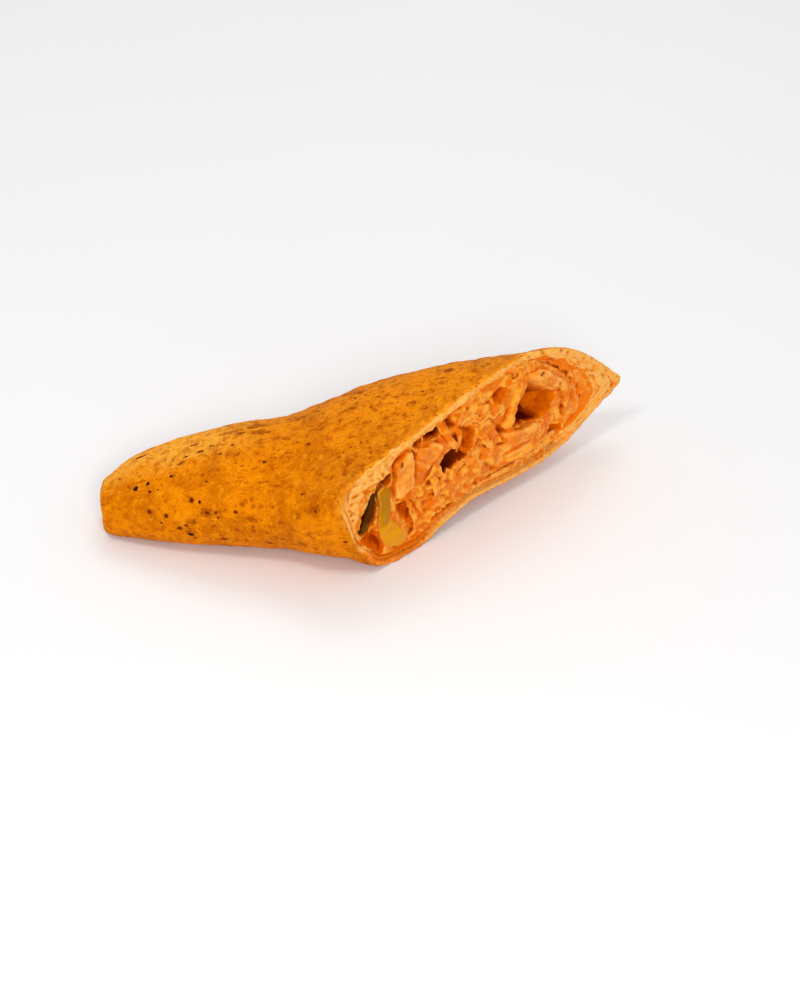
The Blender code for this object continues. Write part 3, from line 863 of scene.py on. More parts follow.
@dataclass(frozen=True)
class CookedChicken(Look):
    """Pale fibrous chicken with sauce in its grooves, painted shade in its valleys and hollows, and paler crests
    that are partly a painted highlight.
    """

    flesh: tuple = (1.0, 0.39, 0.050)
    # crest: paler crests, partly a painted highlight
    crest: tuple = (1.0, 0.49, 0.095)
    sauced: tuple = (0.82, 0.180, 0.001)
    # painted shade: the colour of the valleys, and below it that of the deep hollows
    valley: tuple = (0.46, 0.055, 0.0)
    red: tuple = (0.060, 0.002, 0.0)
    pepper: tuple = (0.10, 0.012, 0.001)
    shine: float = 0.20

    def wire(self, kit: NodeKit) -> None:
        """Wires its colour, its roughness and its fine relief."""
        cloud = kit.noise(2.6, 4.0, 0.6)
        meat = kit.blended(kit.ranged(cloud, 0.42, 0.66, 0.0, 0.75), self.flesh, self.sauced)
        # paler crests, partly a painted highlight
        crest = kit.times(kit.attribute("crest"), kit.ranged(cloud, 0.3, 0.6, 1.0, 0.2))
        meat = kit.blended(crest, meat, self.crest)
        # sauce in the grooves, then painted shade in the valleys and dark red painted shade deep in the hollows
        for layer, tint in (("sauce", self.sauced), ("valley", self.valley), ("deep", self.red)):
            meat = kit.blended(kit.attribute(layer), meat, tint)
        fleck = kit.flecks(2.9, (0.05, 0.10), 5.0, (0.52, 0.60))
        meat = kit.blended(kit.times(fleck, 0.8), meat, self.pepper)
        kit.colour(meat)
        kit.roughness(kit.ranged(cloud, 0.35, 0.65, 0.30, 0.52))
        kit.bumped((kit.noise(0.7, 3.0, 0.6), 0.10), (kit.noise(2.0, 3.0), 0.20))
        kit.set(Specular_IOR_Level=self.shine, Specular_Tint=(1.0, 0.60, 0.18, 1.0))


@dataclass(frozen=True)
class PickledCucumber(Look):
    """Wet pickle: yellow-olive flesh, with darker or paler skin at its edge."""

    flesh: tuple
    inner: tuple
    skin: tuple
    shine: float = 0.10

    def wire(self, kit: NodeKit) -> None:
        """Wires its colour, its roughness and its fine relief."""
        cloud = kit.noise(2.6, 3.0, 0.6)
        ripe = kit.sum(kit.attribute("ripe"), kit.ranged(cloud, 0.3, 0.7, -0.25, 0.25))
        flesh = kit.blended(kit.ranged(ripe, 0.1, 0.9), self.flesh, self.inner)
        kit.colour(kit.blended(kit.attribute("skin"), flesh, self.skin))
        kit.roughness(kit.ranged(cloud, 0.3, 0.7, 0.20, 0.40))
        kit.bumped((kit.noise(0.7, 3.0, 0.6, kit.scaled((1.0, 1.0, 0.3))), 0.10), (kit.noise(2.6, 2.0), 0.2))
        kit.set(Specular_IOR_Level=self.shine, Specular_Tint=(1.0, 0.75, 0.05, 1.0))


HOLLOW_FROM = 0.3  # how deep in a hollow a face takes the second finish, the copy without reflection that stands in for shade


class Finish(Enum):
    """The finishes, each made once."""

    DOUGH = ToastedDough()
    SAUCE = ChilliSauce()
    # copies with their reflection taken out, for the hollows: they stand in for shade there
    SAUCE_IN_HOLLOWS = ChilliSauce(shine=0.0)
    CHICKEN = CookedChicken()
    CHICKEN_IN_HOLLOWS = CookedChicken(shine=0.0)
    PICKLE = PickledCucumber((0.46, 0.175, 0.0), (0.78, 0.30, 0.0), (0.98, 0.40, 0.040))
    PICKLE_SKIN = PickledCucumber((0.080, 0.020, 0.0), (0.20, 0.080, 0.0), (0.05, 0.012, 0.0), 0.03)

    def on(self, obj: Object) -> Object:
        """Gives an object this finish.

        Args:
            obj: The object to dress.

        Returns:
            The same object.
        """
        obj.data.materials.clear()
        obj.data.materials.append(self.material())
        return obj

    def material(self) -> Material:
        """This finish's one material, made when it is first used."""
        name = f"finish_{self.name.lower()}"
        material = bpy.data.materials.get(name)
        if material is None:
            material = self.value.make(name)
        return material

    def on_hollows(self, obj: Object, deep: Array) -> Object:
        """Gives the faces deep in hollows this finish as a second one: a copy without reflection, standing in for
        shade there.

        Args:
            obj: The dressed object.
            deep: One number for each of its points, 1 in a hollow.

        Returns:
            The same object.
        """
        obj.data.materials.append(self.material())
        corners = np.zeros(len(obj.data.loops), np.int32)
        starts = np.zeros(len(obj.data.polygons), np.int32)
        obj.data.loops.foreach_get("vertex_index", corners)
        obj.data.polygons.foreach_get("loop_start", starts)
        obj.data.polygons.foreach_set("material_index", (deep[corners[starts]] > HOLLOW_FROM).astype(np.int32))
        obj.data.update()
        return obj


# ---------------------------------------------------------------- the filling's cut face


@dataclass(frozen=True)
class Ridge:
    """A strand or fold that stands up from the face, along points (u, v, height)."""

    path: Points
    width: float
    pale: float = 0.4  # how pale its crest is


@dataclass(frozen=True)
class Lump:
    """A rounded lump: its middle, half sizes, turn and height."""

    centre: Span
    half: Span
    turn_deg: float
    height: float
    pale: float = 0.6


@dataclass(frozen=True)
class Hollow:
    """A hollow: its outline, its depths at its low-u and high-u ends, and its wall's width in mm."""

    outline: Points
    depth_near: float
    depth_far: float
    wall: float = 0.7
    deep: float = 1.0  # how far its painted shade goes towards dark red


@dataclass(frozen=True)
class Crack:
    """A narrow groove along points (u, v)."""

    path: Points
    width: float
    depth: float
    # how dark its painted shade is
    deep: float = 0.6


CAVITY = (
    (75.5, 19.3), (72.5, 26.0), (67.5, 32.5), (61.5, 38.0), (54.0, 40.8), (45.9, 41.8),
    (31.2, 40.9), (16.8, 38.2), (3.0, 35.6), (-4.0, 33.6), (-8.0, 30.0), (-10.5, 23.5),
    (-12.0, 17.5), (-9.5, 11.5), (-4.0, 6.2), (2.0, 4.2), (11.0, 4.6), (20.0, 7.6),
    (30.0, 9.4), (45.0, 8.6), (56.0, 9.2), (65.0, 11.6), (71.5, 14.8),
)  # fmt: skip
HOLLOWS = (
    Hollow(((43.0, 24.2), (44.6, 26.2), (43.9, 28.6), (45.3, 30.4), (47.4, 33.6), (50.0, 36.4), (53.4, 35.4),
            (57.6, 32.0), (60.6, 28.6), (61.0, 24.0), (57.5, 21.2), (53.0, 21.4), (49.3, 21.9),
            (45.5, 22.6)), 9.4, 2.4, 1.2, 0.85),
    Hollow(((16.8, 24.6), (18.0, 26.2), (19.0, 27.8), (20.4, 27.4), (21.2, 28.4), (22.8, 27.4), (23.6, 25.6),
            (25.4, 25.0), (26.8, 23.8), (25.6, 22.6), (23.4, 23.0), (21.6, 21.6), (19.6, 21.8), (18.4, 20.8),
            (17.4, 22.4)), 4.6, 4.0, 1.7, 1.3),
    Hollow(((22.4, 34.4), (24.6, 34.0), (27.2, 32.4), (29.6, 30.6), (30.0, 27.6), (28.6, 24.9), (26.0, 24.4),
            (24.6, 26.6), (24.4, 30.6)), 4.8, 2.4, 1.5, 0.8),
    Hollow(((6.4, 38.8), (11.6, 39.2), (11.7, 36.2), (9.8, 35.2), (8.2, 35.7)), 9.0, 8.6, 0.6),
    Hollow(((12.1, 39.2), (15.6, 39.3), (17.4, 37.4), (15.8, 35.2), (13.4, 34.8), (12.2, 36.0)), 8.0, 6.5, 0.6),
    Hollow(((18.2, 40.6), (22.0, 41.6), (25.0, 41.4), (24.6, 40.4), (21.6, 40.0), (19.8, 38.4),
            (18.6, 38.0)), 6.0, 5.0, 0.5),
    Hollow(((35.0, 38.4), (38.6, 39.8), (42.0, 39.2), (42.4, 36.4), (39.6, 34.6),
            (36.6, 35.6)), 2.6, 1.9, 2.4, 0.10),
    Hollow(((37.7, 27.2), (39.2, 26.6), (41.0, 23.6), (41.0, 21.6), (39.8, 21.8),
            (38.2, 24.6)), 3.4, 2.6, 0.8, 0.45),
    Hollow(((58.4, 12.4), (59.6, 15.2), (62.2, 15.2), (63.6, 12.2), (62.8, 10.4),
            (60.0, 10.4)), 3.4, 3.0, 1.2, 0.25),
    Hollow(((1.0, 19.4), (4.0, 20.0), (7.4, 18.2), (8.6, 14.2), (7.4, 11.6), (5.2, 11.2), (3.4, 14.0),
            (1.6, 17.0)), 2.9, 2.4, 1.8, 0.14),
    Hollow(((-5.6, 31.6), (-1.0, 32.2), (0.6, 30.8), (-0.6, 28.2), (-5.2, 28.2)), 6.0, 4.0, 0.7, 0.8),
    Hollow(((-6.4, 31.0), (-5.4, 28.0), (-5.6, 21.6), (-6.8, 17.4), (-9.6, 14.6), (-12.0, 15.8),
            (-11.6, 20.0), (-9.4, 24.2), (-8.0, 28.0)), 5.2, 5.2, 0.7, 0.9),
    Hollow(((-11.4, 14.2), (-7.0, 16.0), (-5.2, 12.6), (-2.6, 8.6), (-4.6, 6.6),
            (-9.0, 10.6)), 3.2, 3.0, 1.4, 0.45),
)
FAR_EDGE = ((50.0, 41.6), (54.0, 39.6), (60.8, 34.0), (64.6, 28.6), (66.4, 22.0), (67.2, 15.0), (66.6, 9.0))
RIDGES = (
    Ridge(((16.2, 37.8, -1.6), (18.4, 35.2, -0.6), (20.0, 32.0, 0.1), (21.6, 29.2, -0.2), (23.4, 28.2, -0.4),
           (24.2, 29.6, -0.4), (23.6, 32.0, -0.4), (22.6, 34.4, -1.0)), 1.7, 0.8),
    Ridge(((50.6, 39.0, -0.8), (47.4, 36.2, 0.0), (44.6, 32.6, 0.4), (43.0, 29.0, 0.5), (42.7, 25.0, 0.3),
           (42.6, 20.6, -0.6)), 4.2, 0.55),
    Ridge(((40.8, 34.4, -1.2), (40.2, 31.2, -0.4), (40.0, 28.4, -0.8)), 1.4, 0.5),
    Ridge(((28.5, 33.8, -0.8), (31.5, 32.2, 0.0), (34.0, 33.0, 0.2), (36.0, 31.4, 0.2), (38.3, 31.8, 0.1),
           (39.6, 30.2, -0.4)), 1.1, 1.0),
    Ridge(((29.0, 36.4, -0.8), (32.6, 34.8, 0.0), (36.4, 33.6, -0.4)), 1.4, 0.8),
    Ridge(((30.6, 31.6, -0.8), (31.4, 28.0, -0.3), (33.8, 23.6, -0.5)), 3.6, 0.5),
    Ridge(((34.4, 31.6, -0.9), (35.6, 27.4, -0.3), (38.0, 22.8, -0.8)), 3.2, 0.4),
    Ridge(((25.6, 24.2, -1.0), (28.4, 23.2, -0.4), (31.0, 20.6, -0.6)), 3.8, 0.5),
    Ridge(((16.6, 23.2, -1.2), (19.0, 20.0, -0.6), (22.5, 19.0, -0.5), (25.4, 20.4, -0.8)), 3.4, 0.6),
    Ridge(((17.6, 27.8, -0.9), (15.4, 26.6, -0.4), (13.6, 24.4, -0.4), (12.4, 22.4, -0.9)), 2.2, 0.55),
    Ridge(((14.0, 22.8, -0.9), (15.1, 19.2, 0.0), (15.5, 15.4, 0.2), (15.2, 11.4, -0.6)), 1.3, 0.9),
    Ridge(((18.6, 20.2, -0.9), (17.6, 16.6, -0.3), (18.6, 12.6, -0.8)), 1.6, 0.5),
    Ridge(((38.0, 13.6, -0.8), (45.0, 12.9, -0.2), (51.0, 13.8, -0.1), (55.4, 17.0, -0.6)), 1.8, 0.75),
    Ridge(((33.0, 12.0, -0.9), (42.0, 11.3, -0.4), (51.0, 11.5, -0.3), (57.4, 14.6, -0.7)), 1.4, 0.6),
    Ridge(((54.0, 38.6, -0.8), (60.0, 33.4, -0.4), (63.4, 28.6, -0.4), (64.6, 22.0, -0.4),
           (65.2, 14.0, -0.8)), 3.0, 0.45),
    Ridge(((57.0, 19.6, -1.6), (59.6, 17.6, -1.0), (60.2, 15.6, -1.8)), 2.4, 0.4),
    Ridge(((5.2, 20.2, -1.2), (6.6, 14.4, -0.5), (7.6, 8.4, -0.6), (6.0, 4.4, -1.4)), 1.4, 0.4),
    Ridge(((9.4, 11.6, -1.0), (10.0, 8.0, -0.5), (9.6, 5.2, -1.4)), 2.0, 0.6),
    Ridge(((20.0, 12.0, -1.0), (24.0, 11.2, -0.6), (30.0, 11.6, -1.0)), 1.6, 0.6),
    Ridge(((45.0, 40.4, -1.6), (50.0, 39.6, -1.0), (55.0, 40.0, -1.4)), 2.0, 0.3),
    Ridge(((11.7, 39.0, -3.0), (11.9, 36.8, -2.2), (11.6, 34.8, -1.6)), 0.9, 0.5),
    Ridge(((20.2, 28.0, -8.5), (20.5, 24.8, -6.0), (20.3, 22.2, -4.5)), 1.2, 0.2),
)
LUMPS = (
    Lump((27.4, 38.6), (3.5, 2.4), -15, -0.1, 0.7),
    Lump((31.4, 36.6), (3.0, 1.8), -30, -0.2, 0.6),
    Lump((32.8, 40.4), (2.6, 1.6), -5, -0.9, 0.5),
    Lump((24.8, 36.4), (1.8, 1.6), 20, -0.4, 0.7),
    Lump((22.0, 37.4), (1.2, 2.0), 25, -0.7, 0.5),
    Lump((26.5, 18.2), (2.6, 1.7), 20, -0.1, 0.8),
    Lump((30.6, 16.4), (3.2, 1.9), -20, 0.1, 0.9),
    Lump((34.8, 17.4), (2.6, 1.5), -25, 0.0, 0.9),
    Lump((28.0, 13.4), (1.9, 2.6), -30, -0.2, 1.0),
    Lump((32.8, 13.6), (3.0, 1.4), -5, -0.3, 0.8),
    Lump((38.0, 18.2), (2.8, 1.3), -15, 0.0, 0.8),
    Lump((37.4, 15.2), (2.6, 1.2), -10, -0.2, 0.8),
    Lump((23.6, 15.0), (1.9, 2.4), 10, -0.4, 0.6),
    Lump((21.4, 17.6), (1.6, 1.4), 0, -0.6, 0.6),
    Lump((10.4, 18.9), (1.5, 1.1), 15, -0.2, 0.9),
    Lump((12.6, 19.4), (1.4, 1.0), -20, -0.1, 0.9),
    Lump((11.6, 16.6), (1.3, 1.5), 0, -0.6, 0.5),
    Lump((13.0, 13.2), (1.6, 1.3), 30, -0.5, 0.5),
    Lump((11.6, 9.6), (1.7, 1.5), 0, -0.7, 0.6),
    Lump((14.6, 9.4), (1.6, 1.3), 0, -0.8, 0.6),
    Lump((17.6, 9.6), (1.6, 1.2), 10, -0.9, 0.5),
    Lump((3.4, 20.8), (1.0, 0.7), 0, -0.8, 0.9),
    Lump((6.3, 20.9), (0.8, 0.6), 0, -0.9, 0.8),
    Lump((56.6, 25.4), (1.9, 0.9), 35, -2.6, 0.8),
    Lump((58.4, 23.0), (1.3, 0.8), -40, -2.2, 0.8),
    Lump((33.0, 30.2), (2.2, 1.4), 0, -0.7, 0.6),
    Lump((46.6, 38.6), (3.4, 1.8), -10, -1.0, 0.4),
    Lump((4.2, 36.0), (2.6, 1.2), 5, -0.9, 0.4),
    Lump((31.2, 15.0), (5.4, 2.0), -35, 0.1, 0.9),
    Lump((36.6, 16.4), (5.0, 1.8), -35, 0.15, 1.0),
    Lump((26.4, 15.4), (4.8, 1.8), -42, 0.0, 0.8),
    Lump((41.0, 18.0), (4.4, 1.6), -30, 0.1, 0.9),
)  # fmt: skip
CRACKS = (
    Crack(((7.7, 36.0), (7.7, 29.0), (8.0, 22.2)), 0.9, 3.6),
    Crack(((0.8, 21.3), (4.4, 20.9), (8.2, 21.3)), 0.8, 3.0),
    Crack(((20.0, 40.0), (20.7, 36.8), (21.9, 34.8)), 1.3, 2.8),
    Crack(((24.4, 30.4), (24.8, 27.4), (24.8, 24.4)), 0.9, 2.0),
    Crack(((28.0, 10.5), (35.0, 10.4), (47.0, 10.8)), 0.7, 1.8),
    Crack(((7.6, 4.6), (13.0, 6.2), (18.6, 8.2), (22.6, 10.2)), 1.3, 2.2),
    Crack(((26.3, 39.8), (26.8, 38.9)), 0.8, 1.8),
    Crack(((22.9, 31.9), (22.7, 30.2)), 0.8, 2.2),
    Crack(((40.4, 14.6), (46.0, 14.4), (52.0, 15.2)), 0.5, 1.2),
    Crack(((41.0, 20.2), (37.0, 20.6), (33.4, 19.2)), 0.7, 1.2),
    Crack(((29.4, 20.0), (26.0, 19.8), (23.6, 18.6)), 0.7, 1.2),
    Crack(((63.6, 29.0), (64.0, 22.0), (63.4, 15.6)), 0.8, 1.6),
    Crack(((10.2, 31.6), (13.4, 33.6), (17.0, 33.0)), 0.5, 0.8),
)


@dataclass(frozen=True)
class Strand:
    """A torn strand that lies on the face along points (u, v, height), pressed flat onto it."""

    path: Points
    width: float
    flat: float = 0.55  # its thickness, as a share of its width
    turns: float = 0.3  # how far it twists to and fro, in radians


STRANDS = (
    Strand(((17.2, 37.6, -1.6), (18.9, 35.0, -0.4), (20.3, 32.0, 0.3), (21.6, 29.6, 0.3), (22.9, 28.2, 0.2),
            (24.0, 28.9, 0.1), (24.0, 31.4, -0.1), (22.8, 34.2, -1.2)), 2.1, 0.6),
    Strand(((28.2, 33.4, -1.4), (31.2, 32.2, -0.5), (33.6, 33.0, -0.3), (35.8, 31.3, -0.3),
            (38.0, 31.8, -0.4), (39.8, 30.2, -1.2)), 1.3, 0.6),
    Strand(((28.6, 37.2, -0.9), (32.4, 35.6, 0.0), (36.4, 34.0, -0.9)), 2.4, 0.5),
    Strand(((45.6, 31.4, -0.8), (44.6, 29.2, 0.4), (43.4, 28.2, 0.4)), 1.0, 0.7),
    Strand(((46.4, 28.6, -1.6), (44.4, 28.0, 0.1), (43.0, 28.4, 0.3)), 0.9, 0.7),
    Strand(((45.4, 25.8, -1.2), (44.0, 25.4, 0.2), (42.6, 25.2, 0.1)), 1.0, 0.6),
    Strand(((14.0, 23.2, -1.0), (15.2, 19.4, 0.1), (15.6, 15.6, 0.2), (15.0, 11.4, -0.9)), 2.6, 0.4),
    Strand(((17.0, 27.0, -1.2), (15.0, 25.8, 0.1), (13.4, 23.8, 0.3), (12.6, 22.0, -0.6)), 1.6, 0.5, 0.6),
    Strand(((19.6, 20.4, -1.2), (22.4, 17.6, -0.5), (24.2, 14.6, -0.4), (26.2, 11.6, -1.2)), 3.2, 0.35),
    Strand(((38.4, 13.2, -0.8), (45.0, 12.4, 0.4), (51.2, 13.3, 0.5), (55.2, 16.8, 0.2),
            (56.0, 19.4, -0.6)), 1.9, 0.4),
    Strand(((51.6, 39.8, -1.6), (56.4, 36.8, -0.9), (60.6, 32.8, -0.7), (63.6, 28.2, -0.6),
            (65.0, 22.0, -0.6), (65.7, 15.4, -1.0), (65.4, 10.8, -1.6)), 2.7, 0.55),
    Strand(((5.0, 20.6, -1.4), (6.8, 14.6, 0.1), (7.9, 8.4, 0.1), (6.2, 4.2, -1.0)), 1.8, 0.45),
    Strand(((-1.3, 26.0, -1.2), (-0.2, 20.4, -0.2), (1.4, 14.6, -0.1), (3.8, 9.4, 0.0),
            (5.4, 5.6, -0.8)), 2.0, 0.4),
    Strand(((17.6, 16.4, -1.2), (19.4, 14.0, -0.6), (20.2, 11.0, -1.3)), 2.4, 0.4),
    Strand(((31.6, 29.4, -1.4), (32.6, 26.0, 0.0), (34.8, 22.6, 0.1), (37.4, 20.6, -1.0)), 2.6, 0.35),
    Strand(((38.6, 40.8, -2.0), (42.0, 38.8, -0.6), (46.0, 38.4, -0.2), (50.0, 40.4, -1.4)), 2.4, 0.45),
    Strand(((31.6, 20.6, -1.2), (35.8, 19.2, -0.4), (39.6, 17.0, -0.4), (42.6, 14.4, -1.2)), 3.0, 0.32),
    Strand(((27.0, 20.8, -1.2), (30.0, 18.6, -0.5), (32.4, 15.4, -0.5), (34.6, 12.2, -1.3)), 3.2, 0.32),
    Strand(((44.8, 31.0, -8.6), (50.0, 28.8, -7.0), (54.6, 27.4, -5.4), (60.8, 26.2, -3.8)), 4.2, 0.38),
    Strand(((49.4, 36.6, -8.2), (52.6, 32.0, -6.6), (54.8, 28.4, -5.6), (57.8, 23.0, -4.6)), 3.8, 0.38),
    Strand(((11.9, 39.2, -3.4), (12.0, 36.8, -2.2), (11.5, 34.6, -1.2)), 1.1, 0.7),
)


PAINTED = ("pale", "deep", "valley", "hollow")  # what the relief keeps for its material: paleness, partly a painted highlight, painted shade, and where the hollows are


@dataclass
class FillingFace:
    """The relief of the cut face, as a fine grid of heights over the cut."""

    spacing: float = 0.27
    rest_height: float = -1.9
    back: float = 10.6  # depth in mm at which the heap's own core takes over
    sunk_shift: Span = (0.8, -1.0)  # of all its shapes, along u and v
    far_below: float = -30.0  # height of a raised shape where it isn't
    lump_reach: float = 1.15  # of a lump, in half sizes
    u: Array = field(init=False)
    v: Array = field(init=False)
    height: Array = field(init=False)
    # pale is partly a painted highlight on crests; deep and valley are painted shade; hollow marks the hollows
    pale: Array = field(init=False)
    deep: Array = field(init=False)
    valley: Array = field(init=False)
    hollow: Array = field(init=False)

    def shape(self, u: Array, v: Array) -> Array:
        """Works out the relief at these places and keeps it.

        Args:
            u: Places along the cut.
            v: Places up the cut.

        Returns:
            The heights.
        """
        self.u, self.v = u, v
        flat = level_rows(u, v)
        warp_u = u - self.sunk_shift[0] + 0.45 * waves(flat, 2.6, 41) + 0.20 * waves(flat, 1.1, 42)
        warp_v = v - self.sunk_shift[1] + 0.45 * waves(flat, 2.6, 43) + 0.20 * waves(flat, 1.1, 44)
        # loose lumps, drawn out towards the lower right
        turned = level_rows(0.85 * warp_u - 0.53 * warp_v, 0.53 * warp_u + 0.85 * warp_v)
        near, drawn = cells(turned, (5.4, 2.8, 1.0), 2)
        small, picked = cells(turned, (1.7, 1.3, 1.0), 4)
        lumps = np.sqrt(np.clip(1.0 - near**2 / 0.8, 0.0, 1.0)) * (0.6 + 1.4 * drawn)
        crumbs = np.sqrt(np.clip(1.0 - small**2 / 0.7, 0.0, 1.0)) * (picked - 0.2)
        crumbly = eased(u, 6.0, 10.0) * (1.0 - eased(u, 19.0, 23.0)) * (1.0 - eased(v, 19.0, 22.0))
        self.height = self.rest_height + 0.8 * waves(flat, 8.0, 1) + 0.85 * lumps
        self.height += (0.12 + 1.5 * crumbly) * crumbs
        self.pale = 0.15 + 0.25 * waves(flat, 5.0, 3) + 0.40 * drawn
        self.deep = np.zeros_like(u)
        self.hollow = np.zeros_like(u)
        for ridge in RIDGES:
            self._raise(ridge, warp_u, warp_v)
        for lump in LUMPS:
            turn = math.radians(lump.turn_deg)
            du, dv = warp_u - lump.centre[0], warp_v - lump.centre[1]
            across = np.hypot(
                (du * math.cos(turn) + dv * math.sin(turn)) / lump.half[0],
                (dv * math.cos(turn) - du * math.sin(turn)) / lump.half[1],
            )
            dome = np.sqrt(np.clip(1.0 - (across / self.lump_reach) ** 2, 0.0, 1.0))
            top = np.where(across < self.lump_reach, lump.height - 2.2 * (1.0 - dome), self.far_below)
            self._cover(top, 0.7 * lump.pale, 0.35)
        # past its last strand the filling falls away, so that the tortilla's inner layer shows
        beyond, _, side = along_path(u, v, smooth_path(FAR_EDGE, 40))
        beyond = np.where(side > 0, beyond, 0.0) * eased(u, 50.0, 56.0)
        far = eased(beyond, 0.0, 2.2)
        self.height -= far * (5.0 + 0.8 * np.minimum(beyond, 5.0))
        for hollow in HOLLOWS:
            self._sink(hollow, warp_u, warp_v)
        for crack in CRACKS:
            gap, travelled, _ = along_path(warp_u, warp_v, smooth_path(crack.path, 24))
            share = bell(gap, 0.0, 0.6 * crack.width) * eased(travelled, -0.02, 0.15)
            share = share * (1 - eased(travelled, 0.85, 1.02))
            self.height -= crack.depth * share
            # painted shade along the crack
            self.deep = np.maximum(self.deep, crack.deep * share)
        combed = level_rows(warp_u * 0.9 + warp_v * 0.45, warp_v * 0.9 - warp_u * 0.45)
        fine = 0.12 * waves(combed, (1.1, 5.0, 1.0), 7) + 0.09 * waves(flat, 1.3, 8) + 0.05 * waves(flat, 0.75, 9)
        self.height += fine * (1.0 - self.deep)
        # painted shade where the relief lies low, with some random variation
        valley = 0.75 * eased(-self.height, 1.6, 3.6) + 0.25 * waves(flat, 4.2, 45)
        self.valley = np.clip(valley, 0.0, 0.9) * (1 - far)
        self.pale = self.pale * (1 - far)
        return self.height

    def level_at(self, u: float, v: float) -> float:
        """The relief's height at the nearest point of the grid."""
        return float(self.height[np.argmin((self.u - u) ** 2 + (self.v - v) ** 2)])

    def _cover(self, top: Array, pale: float, fillet: float) -> None:
        """Joins a raised shape to the relief.

        Args:
            top: Its heights, far below where it isn't.
            pale: How pale it is.
            fillet: Size of the fillet at its foot.
        """
        # the top of a raised shape is painted paler than its foot: partly painted light
        shaded = pale * (1.0 - 0.75 * eased(top.max() - top, 0.2, 1.5))
        self.pale = np.where(top > self.height, shaded, self.pale)
        self.height = soft_max(self.height, top, fillet)

    def _raise(self, ridge: Ridge, u: Array, v: Array) -> None:
        """Adds a ridge.

        Args:
            ridge: The ridge.
            u: Warped places along the cut.
            v: Warped places up the cut.
        """
        path = smooth_path(ridge.path, 40)
        gap, travelled, _ = along_path(u, v, path)
        half = ridge.width * (0.5 + 0.12 * np.sin(9.0 * travelled + ridge.path[0][0]))
        half = half * (0.55 + 0.45 * eased(travelled, 0.0, 0.15) * (1 - eased(travelled, 0.85, 1.0)))
        level = np.interp(travelled, np.linspace(0, 1, len(path)), path[:, 2])
        dome = np.sqrt(np.clip(1.0 - (gap / half) ** 2, 0.0, 1.0))
        top = np.where(gap < half, level - ridge.width * 0.45 * (1.0 - dome), self.far_below)
        self._cover(top, ridge.pale, 0.25)

    def _sink(self, hollow: Hollow, u: Array, v: Array) -> None:
        """Adds a hollow.

        Args:
            hollow: The hollow.
            u: Warped places along the cut.
            v: Warped places up the cut.
        """
        outline = np.array(hollow.outline)
        ring = np.vstack([outline, outline[:1]])
        gap, _, _ = along_path(u, v, ring)
        inward = np.where(inside_outline(u, v, outline), gap, -gap)
        flat = level_rows(u, v)
        inward += 0.50 * waves(flat, 1.8, 48) + 0.25 * waves(flat, 0.8, 49)
        low, high = outline[:, 0].min(), outline[:, 0].max()
        depth = hollow.depth_near + (hollow.depth_far - hollow.depth_near) * eased(u, low, high)
        share = eased(inward, -0.2, hollow.wall)
        bottom = -depth - 0.35 * np.clip(inward, 0, 3)
        bottom += 0.7 * waves(flat, 2.6, 46)
        bottom += 0.35 * waves(flat, 1.1, 47)
        shade = eased(inward, -0.15, 0.35) * np.maximum(eased(depth, 1.6, 7.0), 0.15) * hollow.deep
        self.height = self.height * (1 - share) + np.minimum(bottom, self.height) * share
        self.pale = self.pale * (1.0 - share)
        self.hollow = np.maximum(self.hollow, eased(inward, -0.3, 0.3) * eased(depth, 1.4, 2.6))
        self.deep = np.maximum(self.deep, shade)


